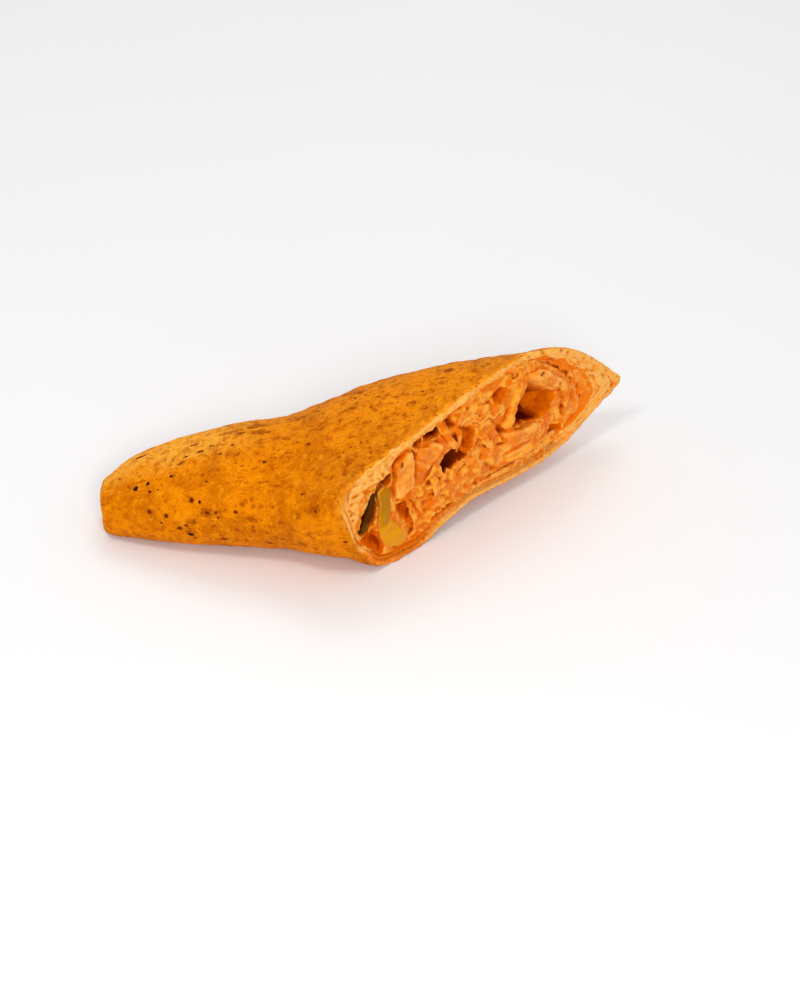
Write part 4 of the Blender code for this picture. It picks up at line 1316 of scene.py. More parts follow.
@dataclass
class Filling:
    """The heap of torn chicken in sauce: its core, its cut face and its loose strands."""

    node: Object
    face: FillingFace = field(default_factory=FillingFace)
    strand_count: int = 9
    voxel: float = 0.32
    hidden_depth: float = 10.2
    hidden_share: float = 0.10  # of the faces behind that depth that are kept
    # behind this depth the front is painted fully dark, as shade
    painted_depth: float = 9.5
    overlap: float = 1.1  # of the face with the cavity's walls
    back_steps: Points = ((4.0, 0.955), (6.0, 0.90), (8.0, 0.82))  # run back and narrowing of each
    splits: int = 2
    fine_rounds: int = 14
    broad_rounds: int = 60
    strand_size: Span = (1.5, 2.8)  # width in mm of a loose strand
    lowest: float = -4.2  # height at which a loose strand still rests
    steepest: float = 2.6  # rise in mm that it still lies across
    sag: tuple[float, ...] = (-0.5, 0.0, 0.1, 0.0, -0.5)  # along it, in widths

    def build_face(self) -> Object:
        """Shapes a grid into the cut face and closes it at the back.

        Returns:
            The face's closed mesh.
        """
        outline = smooth_path(CAVITY + CAVITY[:1], 240)
        middle = outline.mean(axis=0)
        outward = (outline - middle) / np.linalg.norm(outline - middle, axis=1)[:, None]
        outline = outline + outward * self.overlap
        low, high = outline.min(axis=0), outline.max(axis=0)
        columns, rows = np.ceil((high - low) / self.face.spacing).astype(int)
        face, u, v = new_grid(int(columns), int(rows))
        u, v = low[0] + u * (high[0] - low[0]), low[1] + v * (high[1] - low[1])
        keep = inside_outline(u, v, outline)
        write_places(face, level_rows(u, v))
        select_points(face, ~keep)
        bpy.ops.mesh.delete(type="VERT")
        leave_edit(face)
        flat = read_places(face)
        height = self.face.shape(flat[:, 0], flat[:, 1])
        paint(face, **{name: getattr(self.face, name) for name in PAINTED})
        write_places(face, CutPlane.place(flat[:, 0], flat[:, 1], height))
        for _ in range(self.splits):
            self.split_steep(face)
        edit_all(face)
        bpy.ops.mesh.region_to_loop()
        for run, narrowed in self.back_steps:
            bpy.ops.mesh.extrude_region_move(TRANSFORM_OT_translate={"value": (-run * MM, 0.0, 0.0)})
            bpy.ops.transform.resize(value=(narrowed, narrowed, narrowed))
        bpy.ops.mesh.edge_face_add()
        bpy.ops.mesh.select_all(action="SELECT")
        bpy.ops.mesh.normals_make_consistent(inside=False)
        return leave_edit(face)

    @staticmethod
    def split_steep(face: Object, longest: float = 0.62) -> None:
        """Splits the edges that run down steep walls and eases the new points.

        Args:
            face: The relief's mesh.
            longest: Length in mm above which an edge is split.
        """
        places = read_places(face)
        first, second = edges_of(face).T
        long = np.linalg.norm(places[first] - places[second], axis=1) > longest
        only(face)
        bpy.ops.object.mode_set(mode="EDIT")
        bpy.ops.mesh.select_mode(type="EDGE")
        bpy.ops.mesh.select_all(action="DESELECT")
        bpy.ops.object.mode_set(mode="OBJECT")
        face.data.edges.foreach_set("select", long)
        bpy.ops.object.mode_set(mode="EDIT")
        bpy.ops.mesh.subdivide(number_cuts=1, smoothness=0.0)
        bpy.ops.mesh.vertices_smooth(factor=0.4, repeat=1)
        bpy.ops.mesh.select_mode(type="VERT")
        leave_edit(face)

    def build_core(self) -> Object:
        """Cuts the heap's own core off behind the face.

        Returns:
            The core's closed mesh.
        """
        core = copy_of(self.node, "filling_core")
        edit_all(core)
        back = (CUT_ZERO + CutPlane.outward * -self.face.back) * MM
        bpy.ops.mesh.bisect(plane_co=back, plane_no=CutPlane.outward, use_fill=True, clear_outer=True)
        return leave_edit(core)

    def scattered_strands(self) -> list[Strand]:
        """Draws short loose strands that rest on the relief.

        Returns:
            The strands.
        """
        draw = np.random.default_rng(RANDOM_SEED)
        drawn: list[Strand] = []
        cavity = np.array(CAVITY)
        while len(drawn) < self.strand_count:
            u, v = draw.uniform(-9.0, 68.0), draw.uniform(5.0, 41.0)
            length, turn, bend = draw.uniform(2.2, 5.6), draw.uniform(0, math.tau), draw.normal(0, 0.4)
            width, lift = draw.uniform(*self.strand_size), draw.uniform(-0.40, -0.05)
            steps = np.linspace(-0.5, 0.5, len(self.sag))
            turns = turn + bend * steps * 2.0
            path_u = u + length * steps * np.cos(turns)
            path_v = v + length * steps * np.sin(turns)
            if not inside_outline(path_u, path_v, cavity * 0.93 + cavity.mean(axis=0) * 0.07).all():
                continue
            levels = [self.face.level_at(*spot) for spot in zip(path_u, path_v)]
            if min(levels) < self.lowest or max(levels) - min(levels) > self.steepest:
                continue
            level = np.array(levels) + (np.array(self.sag) * width + lift)
            drawn.append(Strand(tuple(zip(path_u, path_v, level)), width, LOOSE_FLAT))
        return drawn

    def build(self) -> list[Object]:
        """Builds and dresses the heap.

        Returns:
            Its pieces.
        """
        front = self.fused()
        body = joined("filling_heap", front, self.build_core())
        Finish.SAUCE_IN_HOLLOWS.on_hollows(Finish.SAUCE.on(body), read_painted(body, "hollow"))
        loose = [
            StrandMaker(strand, LOOSE_SEED + k, LOOSE_STEPS).build()
            for k, strand in enumerate(self.scattered_strands())
        ]
        shreds = Finish.SAUCE.on(joined("loose_shreds", *loose))
        return [body, shreds]

    def fused(self) -> Object:
        """Fuses the face with its strands and paints paler crests, partly a painted highlight, and painted shade
        in grooves and hollows.

        Returns:
            The heap's front.
        """
        laid = [StrandMaker(strand, LAID_SEED + k).build() for k, strand in enumerate(STRANDS)]
        front = joined("filling_front", self.build_face(), *laid)
        source = read_places(front)
        painted = {name: read_painted(front, name) for name in PAINTED}
        remesh(front, self.voxel, 1)
        select_points(front, CutPlane.read(read_places(front))[2] < -self.hidden_depth)
        bpy.ops.mesh.decimate(ratio=self.hidden_share)
        leave_edit(front)
        tree = KDTree(len(source))
        for k, place in enumerate(source):
            tree.insert(place, k)
        tree.balance()
        places = read_places(front)
        _, _, h = CutPlane.read(places)
        shown = h > -self.painted_depth
        nearest = np.array([tree.find(place)[1] if near else 0 for place, near in zip(places, shown)])
        groove, broad = sunken(front, self.fine_rounds), sunken(front, self.broad_rounds)
        # paler crests, partly a painted highlight, and painted shade in the grooves and broad valleys
        crest = 0.55 * eased(-groove, 0.03, 0.30) + 0.35 * eased(-broad, 0.1, 0.9)
        crest -= 0.4 * eased(groove, 0.0, 0.3)
        hollow = painted["hollow"][nearest]
        valley = 0.50 * painted["valley"][nearest]
        valley = valley + 0.70 * eased(groove, 0.03, 0.26) + 0.65 * eased(broad, 0.08, 0.8)
        # behind the painted depth everything is painted fully dark, as shade
        deep = np.where(shown, painted["deep"][nearest], 1.0)
        valley = np.maximum(np.minimum(valley, 0.95), 0.3 * hollow * eased(-h, 2.0, 6.0))
        paint(
            front,
            hollow=hollow,
            pale=(0.75 * painted["pale"][nearest] + crest) * (1.0 - hollow),
            valley=np.maximum(valley, 0.9 * eased(deep, 0.20, 0.55)),
            deep=eased(deep, 0.25, 0.80),
        )
        return leave_shaded(front)


@dataclass
class StrandMaker:
    """Pulls a grooved profile along a strand's path and presses it flat."""

    strand: Strand
    seed: int
    steps: int = 18
    ribs: int = 7
    around: int = 18

    def pull(self) -> Object:
        """Pulls the profile along the path as a bevelled curve.

        Returns:
            The round strand's closed mesh.
        """
        strand = self.strand
        draw = np.random.default_rng(self.seed)
        profile, ring = new_line("profile", self.around)
        angles = np.linspace(0.0, math.tau, self.around, endpoint=False)
        ribbed = 0.13 * np.sin(self.ribs * angles + draw.uniform(0, 6))
        lobed = 0.10 * np.sin(3 * angles + draw.uniform(0, 6))
        radii = 0.5 * strand.width * (1.0 + ribbed + lobed)
        for point, angle, radius in zip(ring.points, angles, radii):
            point.co = (radius * math.cos(angle) * MM, radius * math.sin(angle) * MM, 0.0, 1.0)
        ring.use_cyclic_u = True
        obj, course = new_line("strand", self.steps)
        obj.data.dimensions = "3D"
        obj.data.bevel_mode, obj.data.bevel_object, obj.data.use_fill_caps = "OBJECT", profile, True
        path = smooth_path(strand.path, self.steps)
        for k, (point, place) in enumerate(zip(course.points, CutPlane.place(*path.T) * MM)):
            share = k / (self.steps - 1)
            thinned = 0.45 + 0.55 * math.sin(math.pi * min(max(share, 0.06), 0.94)) ** 0.5
            point.co = (*place, 1.0)
            point.radius = thinned * (1.0 + 0.12 * math.sin(9 * share + self.seed))
            point.tilt = strand.turns * math.sin(4.0 * share + self.seed)
        only(obj)
        bpy.ops.object.convert(target="MESH")
        bpy.data.objects.remove(profile)
        finish_with(obj, "SUBSURF", levels=1, render_levels=1)
        return obj

    def build(self) -> Object:
        """Builds the strand and presses it flat onto the face.

        Returns:
            The strand's closed mesh, with its paleness, partly painted light, and its painted shade kept on its
            points.
        """
        strand = self.strand
        obj = self.pull()
        found = read_places(obj)
        course = smooth_path(strand.path, 6 * self.steps)
        centres = CutPlane.place(*course.T)
        nearest = [np.argmin(((centres - place) ** 2).sum(axis=1)) for place in found]
        u, v, h = CutPlane.read(found)
        level = course[nearest, 2]
        write_places(obj, CutPlane.place(u, v, level + (h - level) * strand.flat))
        found, normals = read_places(obj), read_normals(obj)
        lift = 0.20 * waves(found, 1.9, self.seed) + 0.08 * waves(found, 0.7, self.seed + 1)
        write_places(obj, found + normals * (lift * min(strand.width, 1.4))[:, None])
        sunk = CutPlane.read(found)[2]
        # paler where it faces out of the cut, partly painted light, and painted shade lower down and in hollows
        in_hollow = eased(-sunk, 2.2, 3.4)
        crest = 0.6 + 0.5 * waves(found, 3.0, 61) - 0.3 * eased(-(normals @ CutPlane.outward), -0.3, 0.4)
        paint(obj, pale=crest * (1.0 - in_hollow), valley=0.45 * eased(-sunk, 1.4, 3.2), hollow=in_hollow)
        return leave_shaded(obj)


# ---------------------------------------------------------------- the tortilla


@dataclass(frozen=True)
class Spot:
    """A toasted spot at x, y, z: its radius, how dark it is, and how far it is drawn out along the wrap."""

    place: Place
    radius: float
    dark: float = 0.7
    drawn_out: float = 1.0


RIM = (
    (86.3, 17.0), (84.0, 21.5), (77.4, 29.0), (65.9, 39.0), (57.3, 42.9), (45.9, 45.0),
    (31.2, 43.9), (16.8, 41.0), (-4.5, 36.4), (-12.5, 34.6), (-16.6, 31.2), (-17.1, 27.0),
    (-15.1, 20.0), (-10.7, 9.9), (-4.3, 2.2), (2.0, 0.2), (11.0, 0.2), (20.0, 3.3),
    (30.0, 5.8), (45.0, 4.7), (58.0, 4.9), (68.0, 7.4), (76.8, 12.0), (82.5, 14.2),
)  # fmt: skip
SPECK_REACH = 4.0  # in mm, over which a speck's edge is kept on the mesh
CHAR_SPACING = 8.5  # in mm, of the charred specks at the back that are placed by chance
TOP_LIFT = (
    (-71.0, 1.6), (-67.0, 1.9), (-63.0, 1.2), (-55.0, 0.7), (-48.0, 0.8), (-37.0, 1.1), (-33.0, 1.0), (-29.0, 0.6),
    (-25.0, -0.2), (-22.0, -0.5), (-18.0, -0.2), (-14.0, 0.3), (-10.0, 0.6), (-6.0, 0.9), (-2.0, 1.3), (5.0, 1.3),
    (12.0, 0.8), (25.0, 0.6), (45.0, 0.2),
)  # fmt: skip
CHARRED = (
    Spot((-60.9, -12.6, 16.3), 0.8), Spot((-57.7, -12.1, 18.2), 0.58), Spot((-57.0, -14.3, 17.6), 0.42),
    Spot((-51.7, -12.4, 20.9), 0.52), Spot((-47.7, -7.6, 23.3), 0.42, 1.0, 3.2),
    Spot((-46.6, -22.8, 9.9), 0.62, 1.0, 1.6), Spot((-43.5, -20.8, 19.6), 0.5), Spot((-53.7, -5.6, 21.1), 0.35),
    Spot((-51.3, -7.2, 22.0), 0.35), Spot((-54.8, -14.9, 18.4), 0.32), Spot((-54.5, -20.6, 12.5), 0.36),
    Spot((-38.1, -9.7, 26.3), 0.42, 1.0, 1.5), Spot((-35.2, -7.8, 27.2), 0.36, 1.0, 1.6),
    Spot((-41.7, -17.1, 22.9), 0.32),
)  # fmt: skip
SPECKS = (
    Spot((-60.8, -0.8, 17.4), 0.5, 1.0, 6), Spot((-43.9, -6.7, 24.6), 0.48, 1.0, 3.2),
    Spot((-45.7, -2.5, 23.7), 0.42, 1.0, 4), Spot((-69.6, -9.6, 12.3), 0.52), Spot((-52.8, -20.4, 14.6), 0.62),
    Spot((-57.4, -18.3, 14.1), 0.62), Spot((-49.2, -22.5, 11.5), 0.55, 1.0, 1.5),
    Spot((-39.1, -23.6, 18.4), 0.5), Spot((-38.8, -24.3, 17.2), 0.48),
    Spot((-34.0, -24.9, 19.3), 0.5, 1.0, 1.4), Spot((-37.3, -24.2, 9.2), 0.42, 1.0, 2.4),
    Spot((-25.2, -25.9, 9.6), 0.42, 1.0, 1.8), Spot((-26.6, -14.5, 28.4), 0.5, 1.0, 1.4),
    Spot((-5.1, -32.7, 15.9), 0.5), Spot((-45.9, -19.9, 19.3), 0.72), Spot((-12.4, -33.5, 26.9), 0.45),
    Spot((-41.8, -23.0, 17.6), 0.5, 1.0, 1.4), Spot((-21.6, -28.3, 13.1), 0.4, 1.0, 2),
    Spot((-31.8, -25.1, 9.7), 0.4, 1.0, 1.6), Spot((-16.1, -27.0, 27.8), 0.45),
    Spot((-14.8, -11.6, 31.8), 0.52), Spot((-49.0, -9.5, 22.6), 0.4, 1.0, 3),
    Spot((-41.0, -5.8, 25.5), 0.4, 1.0, 3), Spot((-33.6, -2.4, 27.2), 0.4, 1.0, 4),
    Spot((-30.4, -0.9, 27.7), 0.4, 1.0, 4), Spot((-47.8, -22.7, 12.8), 0.4, 1.0, 2),
    Spot((-45.2, -22.7, 8.6), 0.45, 1.0, 2),
)  # fmt: skip
TOASTED = (
    Spot((-41.4, -23.0, 17.8), 2.4, 0.7), Spot((-12.6, -33.1, 27.1), 2.2, 0.75),
    Spot((-45.9, -19.8, 19.3), 1.1, 0.8), Spot((-29.3, -25.1, 21.6), 1, 0.7),
    Spot((-17.2, -31.7, 23.4), 1.2, 0.75), Spot((-32.0, -24.4, 21.2), 1, 0.7),
    Spot((-29.8, -26.6, 18.1), 1.4, 0.75), Spot((-21.8, -29.4, 19.7), 1.4, 0.7),
    Spot((-24.2, -26.7, 22.9), 1.2, 0.6), Spot((-36.8, -23.9, 19.3), 1, 0.6),
    Spot((-33.8, -25.9, 14.3), 1, 0.7), Spot((-33.4, -25.5, 18.3), 0.9, 0.6),
    Spot((-40.2, -24.5, 14.1), 0.9, 0.6, 1.5), Spot((-25.6, -27.7, 14.9), 1, 0.6, 1.5),
    Spot((-57.4, -18.3, 14.1), 1.1, 0.7), Spot((-52.8, -20.4, 14.6), 1.1, 0.7),
    Spot((-15.3, -27.3, 28.2), 2.8, 0.5), Spot((-21.1, -13.7, 29.8), 2.4, 0.5, 2),
    Spot((6.7, -16.5, 37.2), 1.5, 0.5), Spot((-28.4, -3.1, 28.7), 1.4, 0.8, 3),
    Spot((-20.1, 2.1, 29.6), 1.2, 0.7, 2.5), Spot((-21.6, -6.6, 30.5), 1, 0.65, 2),
    Spot((-14.8, -11.6, 31.8), 1.2, 0.6), Spot((-0.9, 5.3, 34.7), 1.7, 0.7, 1.6),
    Spot((13.1, -4.8, 39.7), 1.2, 0.9), Spot((22.6, 7.9, 40.6), 1.7, 1), Spot((18.3, -1.2, 40.9), 1, 0.6),
    Spot((-7.1, -17.0, 33.3), 1.2, 0.6), Spot((0.2, -9.4, 36.2), 1.2, 0.7),
    Spot((-2.4, -2.6, 35.6), 1, 0.7, 1.5), Spot((-9.7, -11.5, 33.2), 1, 0.6),
    Spot((-11.2, -23.5, 30.9), 1.1, 0.6), Spot((-35.9, -1.3, 26.3), 1.4, 0.7, 3),
    Spot((-27.8, 0.4, 28.1), 1.6, 0.7, 3), Spot((-17.5, 0.5, 30.7), 1.4, 0.7, 3),
    Spot((-40.2, -6.1, 25.7), 0.9, 0.6, 3), Spot((-9.5, 6.7, 31.1), 1.2, 0.6, 3),
    Spot((-11.9, -7.0, 32.9), 1.6, 0.55, 1.6), Spot((-3.3, -13.6, 34.8), 1.5, 0.5, 1.4),
    Spot((-5.0, -23.9, 33.1), 1.8, 0.4, 1.3), Spot((-33.0, -18.6, 25.3), 2.2, 0.35, 1.4),
    Spot((-46.6, -23.0, 10.5), 1.5, 0.8, 1.4), Spot((-49.0, -22.5, 11.5), 1.1, 0.6, 1.4),
    Spot((-5.1, -32.7, 15.9), 1, 0.7, 1.2), Spot((-25.2, -26.1, 10.1), 1.2, 0.7, 1.8),
    Spot((-37.3, -24.3, 9.6), 1.2, 0.7, 2), Spot((-63.1, -14.9, 13.5), 1, 0.4),
    Spot((8.0, -1.0, 38.4), 1.1, 0.6, 1.4),
)  # fmt: skip
CREASES = (
    (((-61.0, -14.0, 14.0), (-61.9, -17.0, 9.0), (-62.4, -18.0, 4.0), (-62.2, -17.0, 0.5)), 0.45, 0.42),
    (((-67.0, -6.0, 17.0), (-67.6, -10.0, 13.0), (-67.0, -13.0, 8.0)), 0.9, 0.40),
    (((-66.0, -14.0, 9.0), (-65.0, -16.0, 5.0), (-65.6, -16.0, 1.0)), 0.8, 0.35),
    (((-70.0, 2.0, 14.0), (-71.0, 0.0, 9.0), (-71.0, -3.0, 4.0)), 0.8, 0.45),
    (((-70.0, 10.0, 13.0), (-71.0, 8.0, 8.0), (-71.0, 4.0, 3.0)), 0.8, 0.45),
    (((-60.0, 18.0, 14.0), (-66.0, 16.0, 10.0), (-70.0, 12.0, 6.0)), 0.9, 0.50),
    (((-38.0, 6.0, 25.0), (-50.0, 4.0, 21.0), (-62.0, 3.0, 16.0)), 1.3, 0.40),
)


@dataclass
class Tortilla:
    """The rolled flatbread."""

    node: Object
    voxel: float = 0.60
    rim_depth: float = 2.6  # up to which its faces are finer
    layer: float = 1.35  # thickness of its outer layer at the cut
    hidden_depth: float = 10.0
    hidden_share: float = 0.12  # of the hidden faces that are kept
    underside: float = 0.25  # height below which faces lie on the floor
    near_cut: float = 12.0  # depth up to which the rim's layers are worked out
    foot: float = 0.35  # height below which the skin isn't lifted
    clear: float = 0.12  # least height of the rest

    def build(self) -> Object:
        """Builds and dresses the tortilla.

        Returns:
            The tortilla.
        """
        skin = copy_of(self.node, "tortilla_roll")
        remesh(skin, self.voxel, 0)
        places = read_places(skin)
        _, _, h = CutPlane.read(places)
        weigh(skin, "body", eased(-h, 0.8, 4.0))
        finish_with(skin, "SMOOTH", factor=0.5, iterations=8, vertex_group="body")
        finish_with(skin, "SMOOTH", factor=0.5, iterations=6)
        self.thin_out(skin)
        self.refine_rim(skin)
        inner = self.find_inside(skin)
        self.relieve(skin, inner)
        self.toast(skin, inner)
        return Finish.DOUGH.on(skin)

    def thin_out(self, skin: Object) -> None:
        """Leaves few faces on the walls behind the filling and on the flat underside.

        Args:
            skin: The tortilla's mesh.
        """
        inner = self.find_inside(skin)
        places = read_places(skin)
        _, _, h = CutPlane.read(places)
        select_points(skin, ((inner > 0.5) & (h < -self.hidden_depth)) | (places[:, 2] < self.underside))
        bpy.ops.mesh.decimate(ratio=self.hidden_share)
        leave_edit(skin)

    def refine_rim(self, skin: Object) -> None:
        """Gives the rim finer faces.

        Args:
            skin: The tortilla's mesh.
        """
        _, _, h = CutPlane.read(read_places(skin))
        select_points(skin, h > -self.rim_depth)
        bpy.ops.mesh.subdivide(number_cuts=1, smoothness=0.0)
        bpy.ops.mesh.vertices_smooth(factor=0.5, repeat=3)
        leave_edit(skin)

    def find_inside(self, skin: Object) -> Array:
        """Tells the cavity's walls from the outer skin.

        Args:
            skin: The tortilla's mesh.

        Returns:
            1 for each point of the cavity, 0 for each point outside.
        """
        places, normals = read_places(skin), read_normals(skin)
        tree = BVHTree.FromPolygons(
            [tuple(p) for p in places], [tuple(f.vertices) for f in skin.data.polygons], epsilon=0.0
        )
        flat = normals - (normals @ CutPlane.outward)[:, None] * CutPlane.outward
        length = np.linalg.norm(flat, axis=1)
        inner = np.zeros(len(places))
        for k in np.flatnonzero(length > 0.2):
            way = flat[k] / length[k]
            inner[k] = tree.ray_cast(tuple(places[k] + way * 0.05), tuple(way))[0] is not None
        return inner

    def relieve(self, skin: Object, inner: Array) -> None:
        """Gives the skin its waves and creases, and the rim its two torn layers.

        Args:
            skin: The tortilla's mesh.
            inner: 1 for each point of the cavity.
        """
        places, normals = read_places(skin), read_normals(skin)
        u, v, h = CutPlane.read(places)
        outer = 1.0 - inner
        body = eased(-h, 0.3, 3.0) * outer
        lift = 0.35 * waves(places, (34.0, 15.0, 15.0), 21) + 0.16 * waves(places, (12.0, 6.0, 6.0), 22)
        near, drawn = cells(places, (5.2, 4.4, 4.4), 23)
        blister = (1.0 - eased(near, 0.15, 0.62)) * eased(drawn, 0.35, 0.9)
        lift += 0.20 * blister + 0.08 * waves(places, 1.8, 24)
        for path, width, depth in CREASES:
            gap = self.gap_to(places, smooth_path(path, 24))
            lift -= depth * (1.6 * bell(gap, 0.0, width) - 0.6 * bell(gap, 0.0, 2.6 * width))
        lift += np.interp(places[:, 0], *np.array(TOP_LIFT).T) * eased(normals[:, 2], 0.15, 0.75)
        moved = places + normals * (lift * body)[:, None]

        # how far each point of the cut is from the rim's outline, and from the cavity's
        lateral = normals - (normals @ CutPlane.outward)[:, None] * CutPlane.outward
        reach = np.linalg.norm(lateral, axis=1)
        close = h > -self.near_cut
        outline = smooth_path(RIM + RIM[:1], 160)
        u_cut = u - h * CutPlane.along[0] / CutPlane.outward[0]
        rim_gap, wall_gap = np.full(len(u), 9.0), np.full(len(u), 0.5)
        rim_gap[close], _, _ = along_path(u_cut[close], v[close], outline)
        wall_gap[close], _, _ = along_path(u_cut[close], v[close], smooth_path(CAVITY + CAVITY[:1], 160))
        across = rim_gap / np.maximum(rim_gap + wall_gap, 1e-6)
        # smoothing rounded the rim's edge: it is drawn out again, to the rim's outline and to the cut
        gone = np.where(inside_outline(u_cut, v, outline), np.minimum(rim_gap, 1.8), 0.0)
        at_rim = eased(-rim_gap, -1.9, -1.2)
        edge = outer * eased(h, -3.6, -1.2) * eased(reach, 0.35, 0.75) * eased(v, 0.2, 0.6) * at_rim
        edge = edge * eased(-across, -0.5, -0.35)
        moved += lateral / np.maximum(reach, 1e-6)[:, None] * (gone * edge)[:, None]
        flat = level_rows(u, v)
        face = eased(normals @ CutPlane.outward, 0.15, 0.6) * eased(h, -1.8, -0.7)
        far = eased(u, 58.0, 68.0)
        low = eased(-v, -13.0, -9.0)
        # the groove between the two layers, a second one low down, and the inner layer's step back
        split = self.layer + 0.25 * waves(flat, 5.0, 27)
        groove = bell(rim_gap, split, 0.32) * (1.0 - far) * (0.65 + 0.5 * waves(flat, 9.0, 28))
        second = np.exp(-(((rim_gap - split - 1.15) / 0.28) ** 2)) * low * (1.0 - far) * 0.7
        inside = eased(rim_gap, split + 0.1, split + 0.5) * (1.0 - far)
        set_back = inside * (0.45 + 0.35 * waves(flat, 4.0, 29) + 0.25 * np.maximum(rim_gap - split, 0.0))
        ragged = 0.28 * waves(flat, 2.4, 25) + 0.20 * waves(flat, 1.0, 26) - 0.1
        rolled = 0.45 * bell(across, 0.66, 0.12) - 0.30 * bell(across, 0.86, 0.07)
        drop = 1.5 * groove + 1.1 * second + set_back + far * eased(v, 15.0, 19.0) * rolled
        moved += CutPlane.outward * (face * (ragged * (1.0 + 0.8 * inside) - drop - np.minimum(h, 0.0)))[:, None]
        frayed = 0.30 * waves(flat, 1.7, 37) + 0.14 * waves(flat, 0.8, 38)
        moved += lateral * (outer * eased(h, -2.0, -0.6) * at_rim * frayed)[:, None]
        floor = np.where(places[:, 2] < self.foot, np.minimum(places[:, 2], self.foot), self.clear)
        moved[:, 2] = np.maximum(moved[:, 2], floor)
        write_places(skin, moved)

        # sauce has soaked into the cut dough low down, and into the walls of the cavity
        in_cavity = inner * eased(across, 0.62, 0.82)
        in_gap = inner * (1.0 - in_cavity)
        near_top = eased(-u, -34.0, 0.0) * (1.0 - low)
        soaked = low * (1.0 - eased(u, 8.0, 18.0))
        between = 0.35 * far * eased(across, 0.5, 0.7) * (1.0 - eased(across, 0.76, 0.82))
        on_face = 0.18 * low + 0.40 * soaked + between + 0.6 * far * eased(across, 0.92, 0.99)
        stain = in_cavity * eased(-h, -0.4, 1.2) + face * (on_face + inside * (0.30 - 0.2 * near_top))
        # painted shade in the grooves between the layers, and deeper into the gap behind the outer layer
        in_grooves = face * (0.75 * groove + 0.6 * second) * (0.6 + 0.4 * low)
        paint(
            skin,
            dough=np.maximum(inner, eased(h, -0.9, -0.35) * eased(rim_gap, 0.0, 0.35)),
            stain=stain + 0.25 * in_gap,
            shade=in_grooves + in_gap * 0.7 * eased(-h, 1.2, 3.6),
        )

    @staticmethod
    def gap_to(places: Array, path: Array) -> Array:
        """How far places are from a path in space.

        Args:
            places: Rows of x, y, z.
            path: Rows of x, y, z.

        Returns:
            The distances.
        """
        best = np.full(len(places), 1e9)
        for start, end in zip(path, path[1:]):
            run = end - start
            q = np.clip((places - start) @ run / (run @ run), 0.0, 1.0)
            best = np.minimum(best, np.linalg.norm(places - start - q[:, None] * run, axis=1))
        return best

    def spotted(self, places: Array, spots: tuple[Spot, ...], size: float) -> Array:
        """How much each place lies in one of the spots.

        Args:
            places: Rows of x, y, z.
            spots: The spots.
            size: How much to enlarge them.

        Returns:
            Up to 1 in the middle of a dark spot, 0.5 at its edge, and 0 far from all.
        """
        most = np.zeros(len(places))
        for spot in spots:
            share = (self.away_from(places, spot) / (size * spot.radius)) ** 2
            most = np.maximum(most, np.clip(1.0 - 0.5 * share, 0.0, 1.0) * spot.dark)
        return most

    def specked(self, places: Array, spots: tuple[Spot, ...]) -> Array:
        """How far inside its nearest speck each place lies.

        Args:
            places: Rows of x, y, z.
            spots: The specks.

        Returns:
            0.5 at a speck's edge, more inside it.
        """
        most = np.zeros(len(places))
        for spot in spots:
            most = np.maximum(most, 0.5 - (self.away_from(places, spot) - spot.radius) / SPECK_REACH)
        return most

    @staticmethod
    def away_from(places: Array, spot: Spot) -> Array:
        """How far places are from a spot's middle, which is moved onto the surface.

        Args:
            places: Rows of x, y, z.
            spot: The spot.

        Returns:
            The distances, less along a spot that is drawn out.
        """
        middle = places[np.argmin(((places - np.array(spot.place)) ** 2).sum(axis=1))]
        away = places - middle
        away[:, 2] -= (1.0 - 1.0 / spot.drawn_out) * away[:, 0] * 0.25
        away[:, 0] /= spot.drawn_out
        return np.linalg.norm(away, axis=1)

    def toast(self, skin: Object, inner: Array) -> None:
        """Paints the toasted spots, the freckles and the pale places of the skin, which are partly painted light.

        Args:
            skin: The tortilla's mesh.
            inner: 1 for each point of the cavity.
        """
        places, normals = read_places(skin), read_normals(skin)
        _, v, h = CutPlane.read(places)
        outer = 1.0 - inner
        behind = eased(places[:, 1], 4.0, 12.0) * eased(0.35 - normals[:, 2], -0.4, 0.2)
        near, chosen = cells(places, (6.0, 4.2, 4.2), 31)
        chosen = eased(chosen + 0.25 * waves(places, 14.0, 33), 0.72 - 0.15 * behind, 1.0)
        random_toast = (1.0 - eased(near, 0.10, 0.42)) * chosen
        spots = np.maximum(self.spotted(places, TOASTED, 0.85), random_toast * (0.35 + 0.60 * behind))
        near, picked = cells(places, CHAR_SPACING, 35)
        random_char = (0.5 - (near * CHAR_SPACING - 0.5) / SPECK_REACH) * (picked > 0.7) * behind
        band = bell(v, 11.0, 7.5) * eased(places[:, 0], -62.0, -42.0)
        top = eased(normals[:, 2], 0.70, 0.95)
        right = eased(places[:, 0], -24.0, -4.0) * eased(normals[:, 2], -0.1, 0.4)
        # surfaces facing up and back are painted paler: partly less toasted dough, partly painted light
        ridge = eased(normals[:, 1], -0.30, 0.20) * eased(normals[:, 2], 0.3, 0.8)
        left = eased(-places[:, 0], 22.0, 50.0)
        at_edge = 0.30 * eased(h, -2.4, -0.6) * eased(v, 18.0, 34.0)
        paint(
            skin,
            # toast also makes the skin darker towards the floor
            toast=np.maximum(spots, 0.45 * eased(-places[:, 2], -9.0, -2.0)) * outer,
            char=np.maximum(self.specked(places, CHARRED), random_char) * outer,
            speck=self.specked(places, SPECKS) * outer,
            freckled=outer * np.maximum(0.30 + 0.7 * band, np.maximum(0.6 * top, 0.9 * right)),
            streaked=outer * eased(normals[:, 2], 0.70, 0.88) * eased(-h, 1.0, 5.0) * 0.85,
            pale=outer * np.clip(ridge * (0.15 + 0.75 * left) + at_edge, 0.0, 0.9),
        )


@dataclass(frozen=True)
class Ply:
    """A torn ply of dough at the cut, between two edges along points (u, v, height)."""

    piece: str
    rolled_edge: Points
    torn_edge: Points
    thickness: float = 1.0
    ruffle: float = 0.35
    crumple: float = 0.3
    ragged: float = 0.12
    stain: float = 0.3
    fold_size: Span = (2.6, 1.9)


